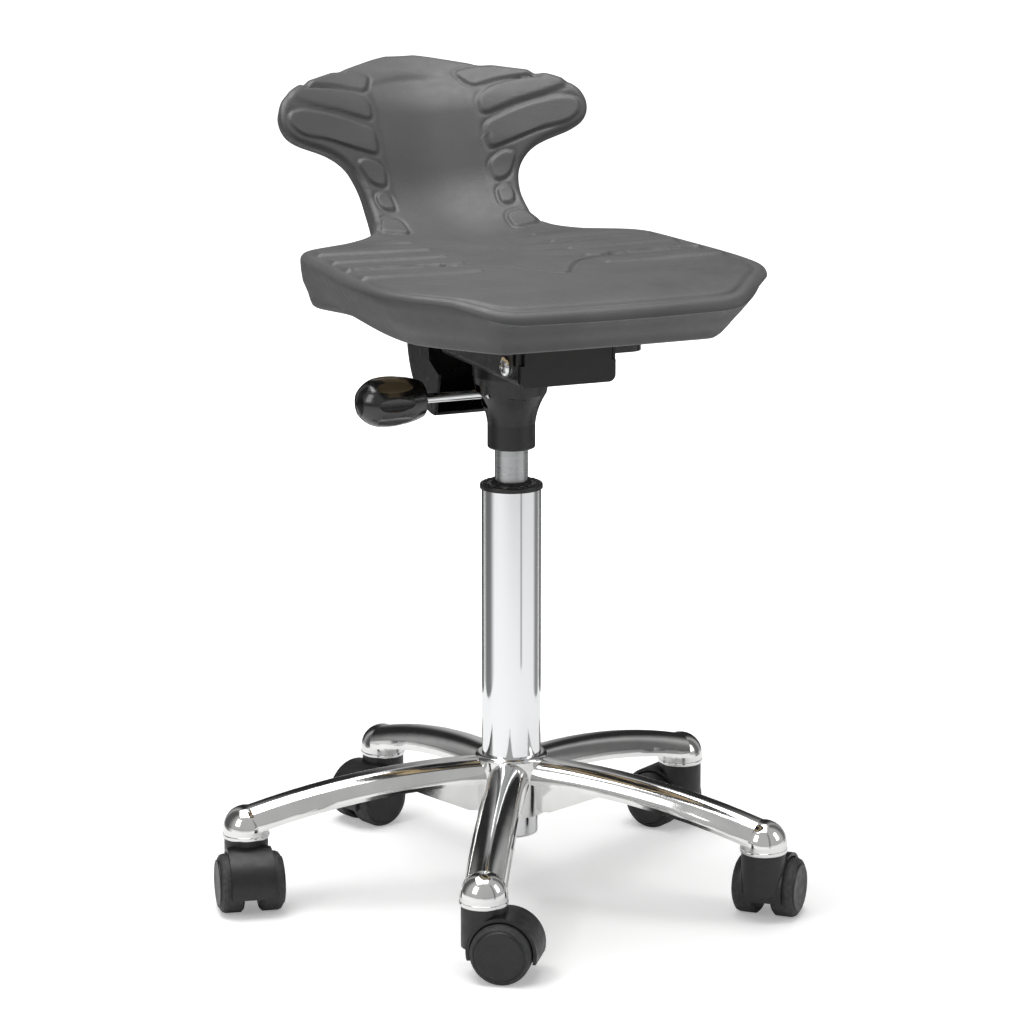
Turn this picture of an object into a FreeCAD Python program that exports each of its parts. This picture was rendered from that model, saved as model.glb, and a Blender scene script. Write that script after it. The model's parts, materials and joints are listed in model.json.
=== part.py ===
import FreeCAD, Part
import Sketcher
import math
import os

document = FreeCAD.newDocument("perch_stool")
sheet = document.addObject("Spreadsheet::Sheet", "size")

# All lengths are in millimetres and all angles in degrees. Zero height is the floor.
drivingSizes = {
    "Base": {
        "star_radius": 229,
        "arm_turn": -119,
        "arm_root_radius": 22,
        "arm_width": 35,
        "arm_side_height": 3,
        "arm_arch_radius": 689,
        "arm_wall": 4,
        "hub_top": 120,
        "crest_drop": 2.5,
        "hub_height": 52,
        "hub_radius": 31,
        "rib_thickness": 7,
        "rib_reach": 92,
        "boss_radius": 19.5,
        "socket_depth": 22,
    },
    "Casters": {
        "caster_height": 59.7,
        "wheel_radius": 25,
        "wheel_width": 20.8,
        "wheel_gap": 12.4,
        "tread_thickness": 4,
        "caster_trail": 18,
        "hood_width": 37,
        "hood_clearance": 1.3,
        "hood_thickness": 2.8,
        "hood_bottom": 17.5,
        "hood_collar_radius": 18.5,
        "web_thickness": 11,
        "stem_radius": 5.5,
        "stem_seat_depth": 14,
        "axle_radius": 3,
    },
    "Column": {
        "tube_radius": 25,
        "tube_wall": 1.5,
        "tube_length": 301,
        "tube_drop": 19.3,
        "tube_taper": 2.4,
        "tube_floor": 3,
        "bush_length": 80,
        "bush_flange": 4.3,
        "bush_overhang": 1.5,
        "cylinder_radius": 14,
        "cylinder_wall": 1.5,
        "cylinder_length": 290,
        "cylinder_taper": 0.8,
        "cylinder_cap": 12,
        "seal_length": 10,
        "rod_radius": 5,
        "rod_length": 272,
        "piston_thickness": 12,
        "bearing_radius": 12,
        "bearing_plate": 2,
        "bearing_cage": 3,
        "buffer_radius": 17,
        "buffer_length": 20,
        "clip_radius": 8,
        "clip_thickness": 1,
        "lift_height": 30,
    },
    "Head": {
        "collar_radius": 20.1,
        "collar_length": 21,
        "sleeve_radius": 17.5,
        "cone_throat_height": 37,
        "cone_mouth_radius": 32.5,
        "cone_wall": 3.5,
        "housing_bottom": 74,
        "housing_top": 110.5,
        "housing_width": 86,
        "housing_front": 112.5,
        "housing_rear": 50,
        "housing_sheet": 2.5,
        "housing_corner": 6,
        "pivot_forward": 88,
        "pivot_height": 87.5,
        "pivot_screw_radius": 4,
        "pivot_tube_radius": 6,
        "ear_radius": 8.5,
        "screw_head_radius": 8.3,
        "screw_head_height": 4.5,
        "cover_thickness": 3,
        "cover_corner": 6,
        "cover_notch_height": 10.5,
        "cover_notch_width": 3.5,
        "window_forward": 17,
        "window_width": 6,
        "window_height": 12,
        "pin_radius": 4,
        "pin_gap": 0.5,
        "lever_height": 47.7,
        "lever_radius": 4,
        "lever_pivot_offset": 26,
        "stub_pin_radius": 1.8,
        "stub_pin_length": 26,
        "lever_reach": 88.7,
        "knob_length": 58.5,
        "knob_radius": 21,
        "knob_cap": 14,
        "knob_inset": 8,
        "flute_radius": 13,
        "flute_depth": 2,
        "flute_count": 8,
        "tilt_lever_forward": 29,
        "tilt_lever_height": 88,
        "tilt_lever_reach": 104,
        "tilt_grip_cap": 12,
        "tilt_grip_length": 46,
        "tilt_grip_width": 28,
        "tilt_grip_thickness": 13,
        "spring_radius": 10,
        "spring_spread": 21,
        "spring_back": 34,
        "spring_gap": 0.3,
    },
    "Seat": {
        "carrier_height": 113.5,
        "carrier_sheet": 3,
        "carrier_width": 118,
        "carrier_front": 96,
        "carrier_rear": 126,
        "bracket_radius": 62,
        "bracket_front": 55,
        "bracket_notch": 55,
        "bolt_radius": 4,
        "bolt_head_radius": 6.5,
        "bolt_head_height": 5,
        "bolt_spread": 50.5,
        "bolt_forward": 57,
        "bolt_back": 57,
        "insert_thickness": 8,
        "insert_width": 208,
        "insert_front": 142,
        "insert_rear": 85,
        "insert_gap": 0.3,
        "insert_corner": 30,
        "underside_height": 118.5,
        "pan_top": 164,
        "pan_half_width": 172.5,
        "pan_front": 226.5,
        "pan_front_half": 99,
        "pan_rear": 101,
        "pan_rear_corner": 72,
        "pan_inset": 11,
        "pan_front_drop": 13,
        "bend_start": 74,
        "bend_radius": 102.5,
        "back_slope": 60.3,
        "back_straight": 49.3,
        "top_bend_radius": 58,
        "top_slope": 32.3,
        "top_length": 50.2,
        "pan_thickness": 45.5,
        "back_thickness": 30,
        "wing_curve": 0.00142,
        "waist_half_width": 72.5,
        "wing_half_width": 143,
        "wing_low_height": 242,
        "wing_tip_height": 272,
        "back_top_height": 307,
        "groove_depth": 1.6,
        "groove_width": 4,
        "groove_count": 5,
        "groove_pitch": 37,
        "groove_start": 79,
        "groove_fan": 1.12,
        "channel_half_width": 40,
        "pad_height": 1.5,
    },
    "Fits": {
        "seat_gap": 0.2,
        "running_gap": 0.1,
        "snug_gap": 0.05,
    },
}

row = 0
for area, entries in drivingSizes.items():
    row += 1
    sheet.set("A%d" % row, area)
    for alias, number in entries.items():
        row += 1
        sheet.set("A%d" % row, alias.replace("_", " "))
        sheet.set("B%d" % row, str(number))
        sheet.setAlias("B%d" % row, alias)
document.recompute()

# Heights and places that several pieces share.
hubBottom = "(size.hub_top - size.hub_height)"
tubeBottom = f"({hubBottom} - size.tube_drop)"
tubeTop = f"({tubeBottom} + size.tube_length)"
bushTop = f"({tubeTop} + size.bush_flange)"
headHeight = f"({bushTop} + size.lift_height)"
bossBottom = "(size.caster_height + size.seat_gap)"
socketRadius = "(size.stem_radius + size.running_gap)"
tubeBore = "(size.tube_radius - size.tube_wall)"
cylinderBore = "(size.cylinder_radius - size.cylinder_wall)"
bearingTop = f"({tubeBottom} + size.tube_floor + 2 * size.bearing_plate + size.bearing_cage)"
pistonBottom = f"({tubeBottom} + size.rod_length - size.piston_thickness)"
cylinderTop = "size.cone_throat_height"
cylinderBottom = f"({cylinderTop} - size.cylinder_length)"
housingWall = "(size.housing_width / 2)"
housingInside = "(size.housing_width / 2 - size.housing_sheet)"
coneBore = "(size.cone_mouth_radius - size.cone_wall)"
insertTop = "(size.carrier_height + size.carrier_sheet + size.insert_thickness)"
knobStart = "(size.lever_reach - size.knob_inset)"
casterDirections = [-35.5, 45.5, 120.9, -163, -101.5]


def value(expression):
    return float(sheet.evalExpression(expression))


def vectorOf(corner):
    return FreeCAD.Vector(value(corner[0]), value(corner[1]), 0)


def newBody(name):
    body = document.addObject("PartDesign::Body", name)
    body.Label = name
    return body


def newSketch(body, role, offset=None):
    plane = [item for item in body.Origin.OriginFeatures if item.Role == role][0]
    sketch = body.newObject("Sketcher::SketchObject", body.Name + "_sketch")
    sketch.AttachmentSupport = [(plane, "")]
    sketch.MapMode = "FlatFace"
    if offset:
        sketch.setExpression("AttachmentOffset.Base.z", offset)
    return sketch


def addArc(sketch, start, end, radius):
    """An arc from start to end; a positive radius has its centre to the left."""
    chord = end - start
    half = chord.Length / 2
    rise = math.sqrt(max(radius * radius - half * half, 0))
    left = FreeCAD.Vector(-chord.y, chord.x, 0).normalize()
    side = 1 if radius > 0 else -1
    centre = (start + end) * 0.5 + left * rise * side
    first, last = (start, end) if radius > 0 else (end, start)
    angles = [math.atan2(point.y - centre.y, point.x - centre.x) for point in (first, last)]
    circle = Part.Circle(centre, FreeCAD.Vector(0, 0, 1), abs(radius))
    index = sketch.addGeometry(Part.ArcOfCircle(circle, angles[0], angles[1]), False)
    return index, (1, 2) if radius > 0 else (2, 1)


def drawOutline(sketch, corners):
    """A closed outline; a corner's third entry is the radius of the arc that leaves it."""
    points = [vectorOf(corner) for corner in corners]
    count = len(corners)
    edges = []
    for index, corner in enumerate(corners):
        start, end = points[index], points[(index + 1) % count]
        if len(corner) == 3:
            edges.append(addArc(sketch, start, end, value(corner[2])))
        else:
            edges.append((sketch.addGeometry(Part.LineSegment(start, end), False), (1, 2)))
    for index, (edge, ends) in enumerate(edges):
        following, nextEnds = edges[(index + 1) % count]
        sketch.addConstraint(Sketcher.Constraint("Coincident", edge, ends[1], following, nextEnds[0]))
    for index, corner in enumerate(corners):
        edge, ends = edges[index]
        for kind, expression, number in (
            ("DistanceX", corner[0], points[index].x),
            ("DistanceY", corner[1], points[index].y),
        ):
            mark = sketch.addConstraint(Sketcher.Constraint(kind, -1, 1, edge, ends[0], number))
            sketch.setExpression("Constraints[%d]" % mark, expression)
        if len(corner) == 3:
            radius = value(corner[2])
            mark = sketch.addConstraint(Sketcher.Constraint("Radius", edge, abs(radius)))
            sketch.setExpression("Constraints[%d]" % mark, f"abs({corner[2]})")


def drawCircle(sketch, x, y, radius):
    centre = FreeCAD.Vector(value(x), value(y), 0)
    circle = Part.Circle(centre, FreeCAD.Vector(0, 0, 1), value(radius))
    edge = sketch.addGeometry(circle, False)
    for constraint, expression in (
        (Sketcher.Constraint("DistanceX", -1, 1, edge, 3, centre.x), x),
        (Sketcher.Constraint("DistanceY", -1, 1, edge, 3, centre.y), y),
        (Sketcher.Constraint("Radius", edge, value(radius)), radius),
    ):
        mark = sketch.addConstraint(constraint)
        sketch.setExpression("Constraints[%d]" % mark, expression)


def finishFeature(body, feature, sketch):
    feature.Profile = sketch
    body.Tip = feature
    sketch.Visibility = False
    return feature


def revolve(body, corners, role="XZ_Plane", axis="V_Axis", remove=False):
    sketch = newSketch(body, role)
    drawOutline(sketch, corners)
    kind = "PartDesign::Groove" if remove else "PartDesign::Revolution"
    feature = finishFeature(body, body.newObject(kind, body.Name + "_turn"), sketch)
    feature.ReferenceAxis = (sketch, [axis])
    feature.Angle = 360
    return feature


def extrude(body, shape, role, length, offset=None, midplane=False, remove=False, reverse=False):
    """Pads or pockets an outline, or a circle given as (x, y, radius) under the key 'circle'."""
    sketch = newSketch(body, role, offset)
    if isinstance(shape, dict):
        for x, y, radius in shape["circles"]:
            drawCircle(sketch, x, y, radius)
    else:
        drawOutline(sketch, shape)
    kind = "PartDesign::Pocket" if remove else "PartDesign::Pad"
    feature = finishFeature(body, body.newObject(kind, body.Name + "_run"), sketch)
    feature.setExpression("Length", length)
    feature.Midplane = midplane
    feature.Reversed = reverse
    return feature


def box(x0, x1, y0, y1):
    return [(x0, y0), (x1, y0), (x1, y1), (x0, y1)]


def place(item, x="0", y="0", z="0", turn=None):
    item.setExpression("Placement.Base.x", x)
    item.setExpression("Placement.Base.y", y)
    item.setExpression("Placement.Base.z", z)
    if turn:
        item.Placement.Rotation = FreeCAD.Rotation(FreeCAD.Vector(0, 0, 1), value(turn))
        item.setExpression("Placement.Rotation.Angle", f"({turn}) * 1 deg")
    return item


def turned(name, corners, z=None, role="XZ_Plane", axis="V_Axis"):
    body = newBody(name)
    revolve(body, corners, role, axis)
    if z:
        place(body, z=z)
    return body


subParts = []


def keep(*items):
    subParts.extend(items)


# Five-armed base

archRise = "(size.hub_top - size.crest_drop - size.arm_arch_radius)"
armHalf = "(size.arm_width / 2)"


def crownHeight(radius):
    """Height of an arm's crest, which follows an arc down to the caster."""
    return f"({archRise} + sqrt(size.arm_arch_radius ^ 2 - ({radius} - size.arm_root_radius) ^ 2))"


def sweepArm(body, inset, reach, remove):
    """A D-shaped section turned about a far axis below the arm."""
    sketch = newSketch(body, "YZ_Plane", "size.arm_root_radius")
    shoulder = f"(size.hub_top - size.crest_drop - {armHalf})"
    half = f"({armHalf} - {inset})"
    foot = f"({shoulder} - size.arm_side_height - {'1' if remove else '0'})"
    drawOutline(sketch, [
        (f"-{half}", foot),
        (half, foot),
        (half, shoulder, half),
        ("0", f"{shoulder} + {half}", half),
        (f"-{half}", shoulder),
    ])
    height = value(archRise)
    axis = sketch.addGeometry(Part.LineSegment(
        FreeCAD.Vector(0, height, 0), FreeCAD.Vector(50, height, 0)), True)
    sketch.addConstraint(Sketcher.Constraint("Horizontal", axis))
    sketch.addConstraint(Sketcher.Constraint("PointOnObject", axis, 1, -2))
    mark = sketch.addConstraint(Sketcher.Constraint("DistanceY", -1, 1, axis, 1, height))
    sketch.setExpression("Constraints[%d]" % mark, archRise)
    sketch.addConstraint(Sketcher.Constraint("DistanceX", axis, 1, axis, 2, 50))
    kind = "PartDesign::Groove" if remove else "PartDesign::Revolution"
    feature = finishFeature(body, body.newObject(kind, body.Name + "_arch"), sketch)
    feature.ReferenceAxis = (sketch, ["Axis0"])
    feature.setExpression("Angle", f"asin(({reach} - size.arm_root_radius) / size.arm_arch_radius)")
    return feature


def makeBase():
    star = newBody("base_star")
    arm = sweepArm(star, "0", "size.star_radius", False)
    hollow = sweepArm(star, "size.arm_wall", "(size.star_radius - size.boss_radius - size.arm_wall)", True)
    ribEnd = "size.star_radius - size.boss_radius + 5"
    rib = extrude(star, [
        ("size.hub_radius - 3", f"{hubBottom} + 2"),
        ("size.hub_radius + 6", f"{hubBottom} + 2"),
        ("size.rib_reach", crownHeight("size.rib_reach") + f" - {armHalf} - size.arm_side_height"),
        (ribEnd, crownHeight("size.star_radius") + f" - {armHalf}"),
        (ribEnd, crownHeight("size.star_radius") + " - 4"),
        ("size.rib_reach", crownHeight("size.rib_reach") + " - 3"),
        ("size.hub_radius - 3", "size.hub_top - 8"),
    ], "XZ_Plane", "size.rib_thickness", midplane=True)
    sketch = newSketch(star, "XZ_Plane")
    bossTop = f"({crownHeight('size.star_radius')} + 1)"
    drawOutline(sketch, [
        ("size.star_radius", bossBottom),
        ("size.star_radius + size.boss_radius", bossBottom),
        ("size.star_radius + size.boss_radius", f"{bossTop} - size.boss_radius", "size.boss_radius"),
        ("size.star_radius", bossTop),
    ])
    axis = sketch.addGeometry(Part.LineSegment(
        FreeCAD.Vector(value("size.star_radius"), 0, 0), FreeCAD.Vector(value("size.star_radius"), 10, 0)), True)
    sketch.addConstraint(Sketcher.Constraint("Vertical", axis))
    sketch.addConstraint(Sketcher.Constraint("PointOnObject", axis, 1, -1))
    mark = sketch.addConstraint(Sketcher.Constraint("DistanceX", -1, 1, axis, 1, value("size.star_radius")))
    sketch.setExpression("Constraints[%d]" % mark, "size.star_radius")
    sketch.addConstraint(Sketcher.Constraint("DistanceY", axis, 1, axis, 2, 10))
    boss = finishFeature(star, star.newObject("PartDesign::Revolution", "base_star_boss"), sketch)
    boss.ReferenceAxis = (sketch, ["Axis0"])
    boss.Angle = 360
    socket = extrude(
        star, {"circles": [("size.star_radius", "0", socketRadius)]}, "XY_Plane",
        "size.socket_depth", offset=bossBottom, remove=True, reverse=True)
    document.recompute()
    pattern = star.newObject("PartDesign::PolarPattern", "base_star_arms")
    pattern.Originals = [arm, hollow, rib, boss, socket]
    pattern.Axis = (newSketch(star, "XY_Plane"), ["N_Axis"])
    pattern.Angle = 360
    pattern.Occurrences = 5
    star.Tip = pattern
    hubInner = "(size.tube_radius - size.tube_taper + size.running_gap)"
    hubOuter = "(size.tube_radius + size.running_gap)"
    revolve(star, [
        (hubInner, hubBottom),
        ("size.hub_radius - 2", hubBottom),
        ("size.hub_radius", "size.hub_top - 4", "4"),
        ("size.hub_radius - 4", "size.hub_top"),
        (hubOuter, "size.hub_top"),
    ])
    bore = revolve(star, [
        ("0", f"{hubBottom} - 1"),
        (hubInner, f"{hubBottom} - 1"),
        (hubInner, hubBottom),
        (hubOuter, "size.hub_top"),
        (hubOuter, "size.hub_top + 1"),
        ("0", "size.hub_top + 1"),
    ], remove=True)
    star.Tip = bore
    place(star, turn="size.arm_turn")
    keep(star)


# Gas column

def makeColumn():
    outerFoot = "(size.tube_radius - size.tube_taper)"
    tube = turned("column_tube", [
        ("size.rod_radius + size.running_gap", tubeBottom),
        (f"{outerFoot} - 2", tubeBottom, "2"),
        (outerFoot, f"{tubeBottom} + 2"),
        (outerFoot, hubBottom),
        ("size.tube_radius", "size.hub_top"),
        ("size.tube_radius", tubeTop),
        (tubeBore, tubeTop),
        (tubeBore, "size.hub_top"),
        (f"{tubeBore} - size.tube_taper", hubBottom),
        (f"{tubeBore} - size.tube_taper", f"{tubeBottom} + size.tube_floor"),
        ("size.rod_radius + size.running_gap", f"{tubeBottom} + size.tube_floor"),
    ])
    bushBore = "(size.cylinder_radius + size.running_gap)"
    flangeRadius = "(size.tube_radius + size.bush_overhang)"
    bush = turned("guide_bush", [
        (bushBore, f"{bushTop} - size.bush_length"),
        (f"{tubeBore} - size.running_gap", f"{bushTop} - size.bush_length"),
        (f"{tubeBore} - size.running_gap", tubeTop),
        (flangeRadius, tubeTop),
        (flangeRadius, f"{bushTop} - 1.5", "1.5"),
        (f"{flangeRadius} - 1.5", bushTop),
        (f"{bushBore} + 1", bushTop),
        (bushBore, f"{bushTop} - 1"),
    ])
    keep(tube, bush)
    bearing = document.addObject("Part::Compound", "thrust_bearing")
    bearing.Label = "thrust_bearing"
    floorTop = f"({tubeBottom} + size.tube_floor)"
    inner = "(size.rod_radius + size.running_gap)"
    layers = (
        ("lower_washer", "0", "size.bearing_plate", "size.bearing_radius"),
        ("ball_cage", "size.bearing_plate", "size.bearing_cage", "size.bearing_radius - 1"),
        ("upper_washer", "size.bearing_plate + size.bearing_cage", "size.bearing_plate", "size.bearing_radius"),
    )
    bearing.Links = [
        turned(name, box(inner, radius, f"{floorTop} + {rise}", f"{floorTop} + {rise} + {height}"))
        for name, rise, height, radius in layers
    ]
    keep(bearing)


def makeSpindle():
    rodFoot = f"({tubeBottom} - size.clip_thickness - 3)"
    grooveTop = f"({tubeBottom} - size.seat_gap)"
    grooveBottom = f"({grooveTop} - size.clip_thickness)"
    rodTop = f"({pistonBottom} + size.piston_thickness)"
    rod = turned("piston_rod", [
        ("0", rodFoot),
        ("size.rod_radius - 1", rodFoot),
        ("size.rod_radius", f"{rodFoot} + 1"),
        ("size.rod_radius", grooveBottom),
        ("size.rod_radius - 1", grooveBottom),
        ("size.rod_radius - 1", grooveTop),
        ("size.rod_radius", grooveTop),
        ("size.rod_radius", f"{bearingTop} + size.seat_gap"),
        ("size.rod_radius + 3", f"{bearingTop} + size.seat_gap"),
        ("size.rod_radius + 3", f"{bearingTop} + size.seat_gap + 3"),
        ("size.rod_radius", f"{bearingTop} + size.seat_gap + 3"),
        ("size.rod_radius", pistonBottom),
        (f"{cylinderBore} - size.running_gap", pistonBottom),
        (f"{cylinderBore} - size.running_gap", rodTop),
        ("0", rodTop),
    ])
    clip = newBody("retaining_clip")
    extrude(
        clip, {"circles": [("0", "0", "size.clip_radius"), ("0", "0", "size.rod_radius - 0.9")]},
        "XY_Plane", "size.clip_thickness", offset=grooveBottom)
    extrude(clip, box("0", "size.clip_radius + 1", "-3.5", "3.5"), "XY_Plane",
            "size.clip_thickness * 4", offset=grooveBottom, midplane=True, remove=True)
    bufferFoot = f"({bearingTop} + size.seat_gap + 3)"
    buffer = turned("rubber_buffer", [
        ("size.rod_radius + size.running_gap", bufferFoot),
        ("size.buffer_radius", bufferFoot),
        ("size.buffer_radius", f"{bufferFoot} + size.buffer_length - 3", "3"),
        ("size.buffer_radius - 3", f"{bufferFoot} + size.buffer_length"),
        ("size.rod_radius + size.running_gap", f"{bufferFoot} + size.buffer_length"),
    ])
    keep(rod, clip, buffer)


# Casters

def wheelPlace(item, direction, side):
    along = f"size.arm_turn + {direction['arm']}"
    heading = direction["heading"]
    x = f"size.star_radius * cos(({along}) * 1 deg) + size.caster_trail * cos(({heading}) * 1 deg)"
    y = f"size.star_radius * sin(({along}) * 1 deg) + size.caster_trail * sin(({heading}) * 1 deg)"
    place(item, x, y, "size.wheel_radius", turn=f"{heading} + {side}")


def makeHood(name):
    hood = newBody(name)
    fender = "(size.wheel_radius + size.hood_clearance + size.hood_thickness)"
    extrude(hood, {"circles": [("size.caster_trail", "size.wheel_radius", fender)]},
            "XZ_Plane", "size.hood_width", midplane=True)
    extrude(hood, {"circles": [("0", "0", "size.hood_collar_radius")]}, "XY_Plane",
            "size.caster_height - size.wheel_radius", offset="size.wheel_radius")
    for reverse in (False, True):
        extrude(
            hood, {"circles": [("size.caster_trail", "size.wheel_radius", "size.wheel_radius + size.hood_clearance")]},
            "XZ_Plane", "size.hood_width", remove=True, reverse=not reverse,
            offset=f"{'-' if reverse else ''}size.web_thickness / 2")
    extrude(hood, box("-80", "80", "-20", "size.hood_bottom"), "XZ_Plane",
            "size.hood_width * 2", midplane=True, remove=True)
    extrude(hood, {"circles": [("0", "0", "size.stem_radius + size.snug_gap")]}, "XY_Plane",
            "size.stem_seat_depth", offset="size.caster_height", remove=True)
    extrude(hood, {"circles": [("size.caster_trail", "size.wheel_radius", "size.axle_radius + size.snug_gap")]},
            "XZ_Plane", "size.hood_width * 2", midplane=True, remove=True)
    return hood


def makeCaster(number, arm, heading):
    name = f"caster_{number}"
    direction = {"arm": arm, "heading": heading}
    along = f"size.arm_turn + {arm}"
    hood = makeHood(f"{name}_hood")
    stem = turned(f"{name}_stem", [
        ("0", "size.caster_height - size.stem_seat_depth"),
        ("size.stem_radius", "size.caster_height - size.stem_seat_depth"),
        ("size.stem_radius", f"{bossBottom} + size.socket_depth - 2"),
        ("size.stem_radius - 1.5", f"{bossBottom} + size.socket_depth - 0.5"),
        ("0", f"{bossBottom} + size.socket_depth - 0.5"),
    ])
    for item in (hood, stem):
        place(item, f"size.star_radius * cos(({along}) * 1 deg)", f"size.star_radius * sin(({along}) * 1 deg)",
              turn=f"{heading}")
    innerFace = "(size.wheel_gap / 2)"
    outerFace = "(size.wheel_gap / 2 + size.wheel_width)"
    axleEnd = f"({outerFace} - 3)"
    axle = turned(f"{name}_axle", box("0", "size.axle_radius", f"-{axleEnd}", axleEnd), role="XY_Plane")
    wheelPlace(axle, direction, "0")
    keep(hood, stem, axle)
    rim = "(size.wheel_radius - size.tread_thickness)"
    for side, turn in (("left", "0"), ("right", "180")):
        wheel = turned(f"{name}_wheel_{side}", [
            ("size.axle_radius + size.running_gap", innerFace),
            ("size.axle_radius + 4", innerFace),
            ("size.axle_radius + 4", f"{innerFace} + 1"),
            (rim, f"{innerFace} + 1"),
            (rim, f"{outerFace} - 1.2"),
            (f"{rim} - 1.2", outerFace),
            (f"{rim} - 3.5", outerFace),
            (f"{rim} - 5", f"{outerFace} - 0.6"),
            ("0", f"{outerFace} - 0.6"),
            ("0", f"{axleEnd} + size.running_gap"),
            ("size.axle_radius + size.running_gap", f"{axleEnd} + size.running_gap"),
        ], role="XY_Plane")
        tread = turned(f"{name}_tread_{side}", [
            (f"{rim} + size.snug_gap", f"{innerFace} + 1"),
            ("size.wheel_radius - 2", f"{innerFace} + 1"),
            ("size.wheel_radius", f"{innerFace} + 3"),
            ("size.wheel_radius", f"{outerFace} - 5"),
            ("size.wheel_radius - 1", f"{outerFace} - 2.4"),
            ("size.wheel_radius - 3", f"{outerFace} - 1"),
            (f"{rim} + size.snug_gap", f"{outerFace} - 1.2"),
        ], role="XY_Plane")
        for item in (wheel, tread):
            wheelPlace(item, direction, turn)
        keep(wheel, tread)


# Mechanism head

def makeCylinder():
    taperFoot = "(size.cylinder_radius - size.cylinder_taper)"
    cylinder = turned("gas_cylinder", [
        ("size.rod_radius + size.running_gap", cylinderBottom),
        ("size.cylinder_radius - 1", cylinderBottom),
        ("size.cylinder_radius", f"{cylinderBottom} + 1"),
        ("size.cylinder_radius", "size.seat_gap"),
        (taperFoot, cylinderTop),
        ("size.pin_radius + size.running_gap", cylinderTop),
        ("size.pin_radius + size.running_gap", f"{cylinderTop} - size.cylinder_cap"),
        (cylinderBore, f"{cylinderTop} - size.cylinder_cap"),
        (cylinderBore, f"{cylinderBottom} + size.seal_length"),
        ("size.rod_radius + size.running_gap", f"{cylinderBottom} + size.seal_length"),
    ], z=headHeight)
    pinTop = "(size.lever_height - size.lever_radius - size.pin_gap)"
    pin = turned("release_pin", [
        ("0", f"{cylinderTop} - size.cylinder_cap + 1"),
        ("size.pin_radius", f"{cylinderTop} - size.cylinder_cap + 1"),
        ("size.pin_radius", f"{pinTop} - 1", "1"),
        ("size.pin_radius - 1", pinTop),
        ("0", pinTop),
    ], z=headHeight)
    collar = turned("cone_collar", [
        ("size.sleeve_radius + size.snug_gap", "0"),
        ("size.collar_radius - 2", "0", "2"),
        ("size.collar_radius", "2"),
        ("size.collar_radius", "size.collar_length"),
        ("size.sleeve_radius + size.snug_gap", "size.collar_length"),
    ], z=headHeight)
    keep(cylinder, pin, collar)


def makeHousing():
    housing = newBody("mechanism_housing")
    inner, outer = housingInside, housingWall
    corner = "size.housing_corner"
    bend = "(size.housing_corner - size.housing_sheet)"
    low, top = "size.housing_bottom", "size.housing_top"
    extrude(housing, [
        (f"-{outer}", f"{low} + {corner}", corner),
        (f"-{outer} + {corner}", low),
        (f"{outer} - {corner}", low, corner),
        (outer, f"{low} + {corner}"),
        (outer, top),
        (inner, top),
        (inner, f"{low} + {corner}", f"-{bend}"),
        (f"{inner} - {bend}", f"{low} + size.housing_sheet"),
        (f"-{inner} + {bend}", f"{low} + size.housing_sheet", f"-{bend}"),
        (f"-{inner}", f"{low} + {corner}"),
        (f"-{inner}", top),
        (f"-{outer}", top),
    ], "XZ_Plane", "size.housing_front + size.housing_rear", offset="-size.housing_rear")
    throat = "size.cone_throat_height"
    sleeveBore = "(size.cylinder_radius + size.snug_gap)"
    boreTop = "(size.cylinder_radius - size.cylinder_taper + size.snug_gap)"
    cone = [
        (sleeveBore, "size.seat_gap + 1"),
        ("size.sleeve_radius", "size.seat_gap + 1"),
        ("size.sleeve_radius", "size.collar_length"),
        ("size.collar_radius", "size.collar_length", "-60"),
        ("size.cone_mouth_radius - 3", f"{throat} + 10"),
        ("size.cone_mouth_radius", f"{low} - 12"),
        ("size.cone_mouth_radius", f"{low} + size.housing_sheet"),
        (coneBore, f"{low} + size.housing_sheet"),
        (coneBore, f"{low} - 12"),
        (f"{coneBore} - 3", f"{throat} + 10"),
        (f"{coneBore} - 9", f"{throat} + 2"),
        (boreTop, f"{throat} + 2"),
        (boreTop, throat),
    ]
    revolve(housing, cone)
    revolve(housing, [
        ("0", throat),
        (boreTop, throat),
        (boreTop, f"{throat} + 2"),
        (f"{coneBore} - 9", f"{throat} + 2"),
        (f"{coneBore} - 3", f"{throat} + 10"),
        (coneBore, f"{low} - 12"),
        (coneBore, f"{low} + size.housing_sheet + 1"),
        ("0", f"{low} + size.housing_sheet + 1"),
    ], remove=True)
    extrude(housing, {"circles": [("-size.pivot_forward", "size.pivot_height", "size.pivot_screw_radius + size.running_gap")]},
            "YZ_Plane", "size.housing_width * 2", midplane=True, remove=True)
    window = "(size.pivot_forward + size.window_forward)"
    extrude(housing, box(f"-{window} - size.window_width / 2", f"-{window} + size.window_width / 2",
                         "size.pivot_height + 3", "size.pivot_height + 3 + size.window_height"),
            "YZ_Plane", "size.housing_width * 2", midplane=True, remove=True)
    extrude(housing, box("-5", "5", "size.lever_height - 12", "size.lever_height + 8"),
            "YZ_Plane", "size.cone_mouth_radius + 5", remove=True, reverse=False)
    extrude(housing, {"circles": [("-size.lever_pivot_offset", "size.lever_height", "size.stub_pin_radius + size.running_gap")]},
            "XZ_Plane", "size.stub_pin_length + 4", midplane=True, remove=True)
    extrude(housing, {"circles": [("-size.tilt_lever_forward", "size.tilt_lever_height", "size.lever_radius + size.running_gap")]},
            "YZ_Plane", "size.housing_width", remove=True, reverse=True)
    place(housing, z=headHeight)
    keep(housing)


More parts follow.
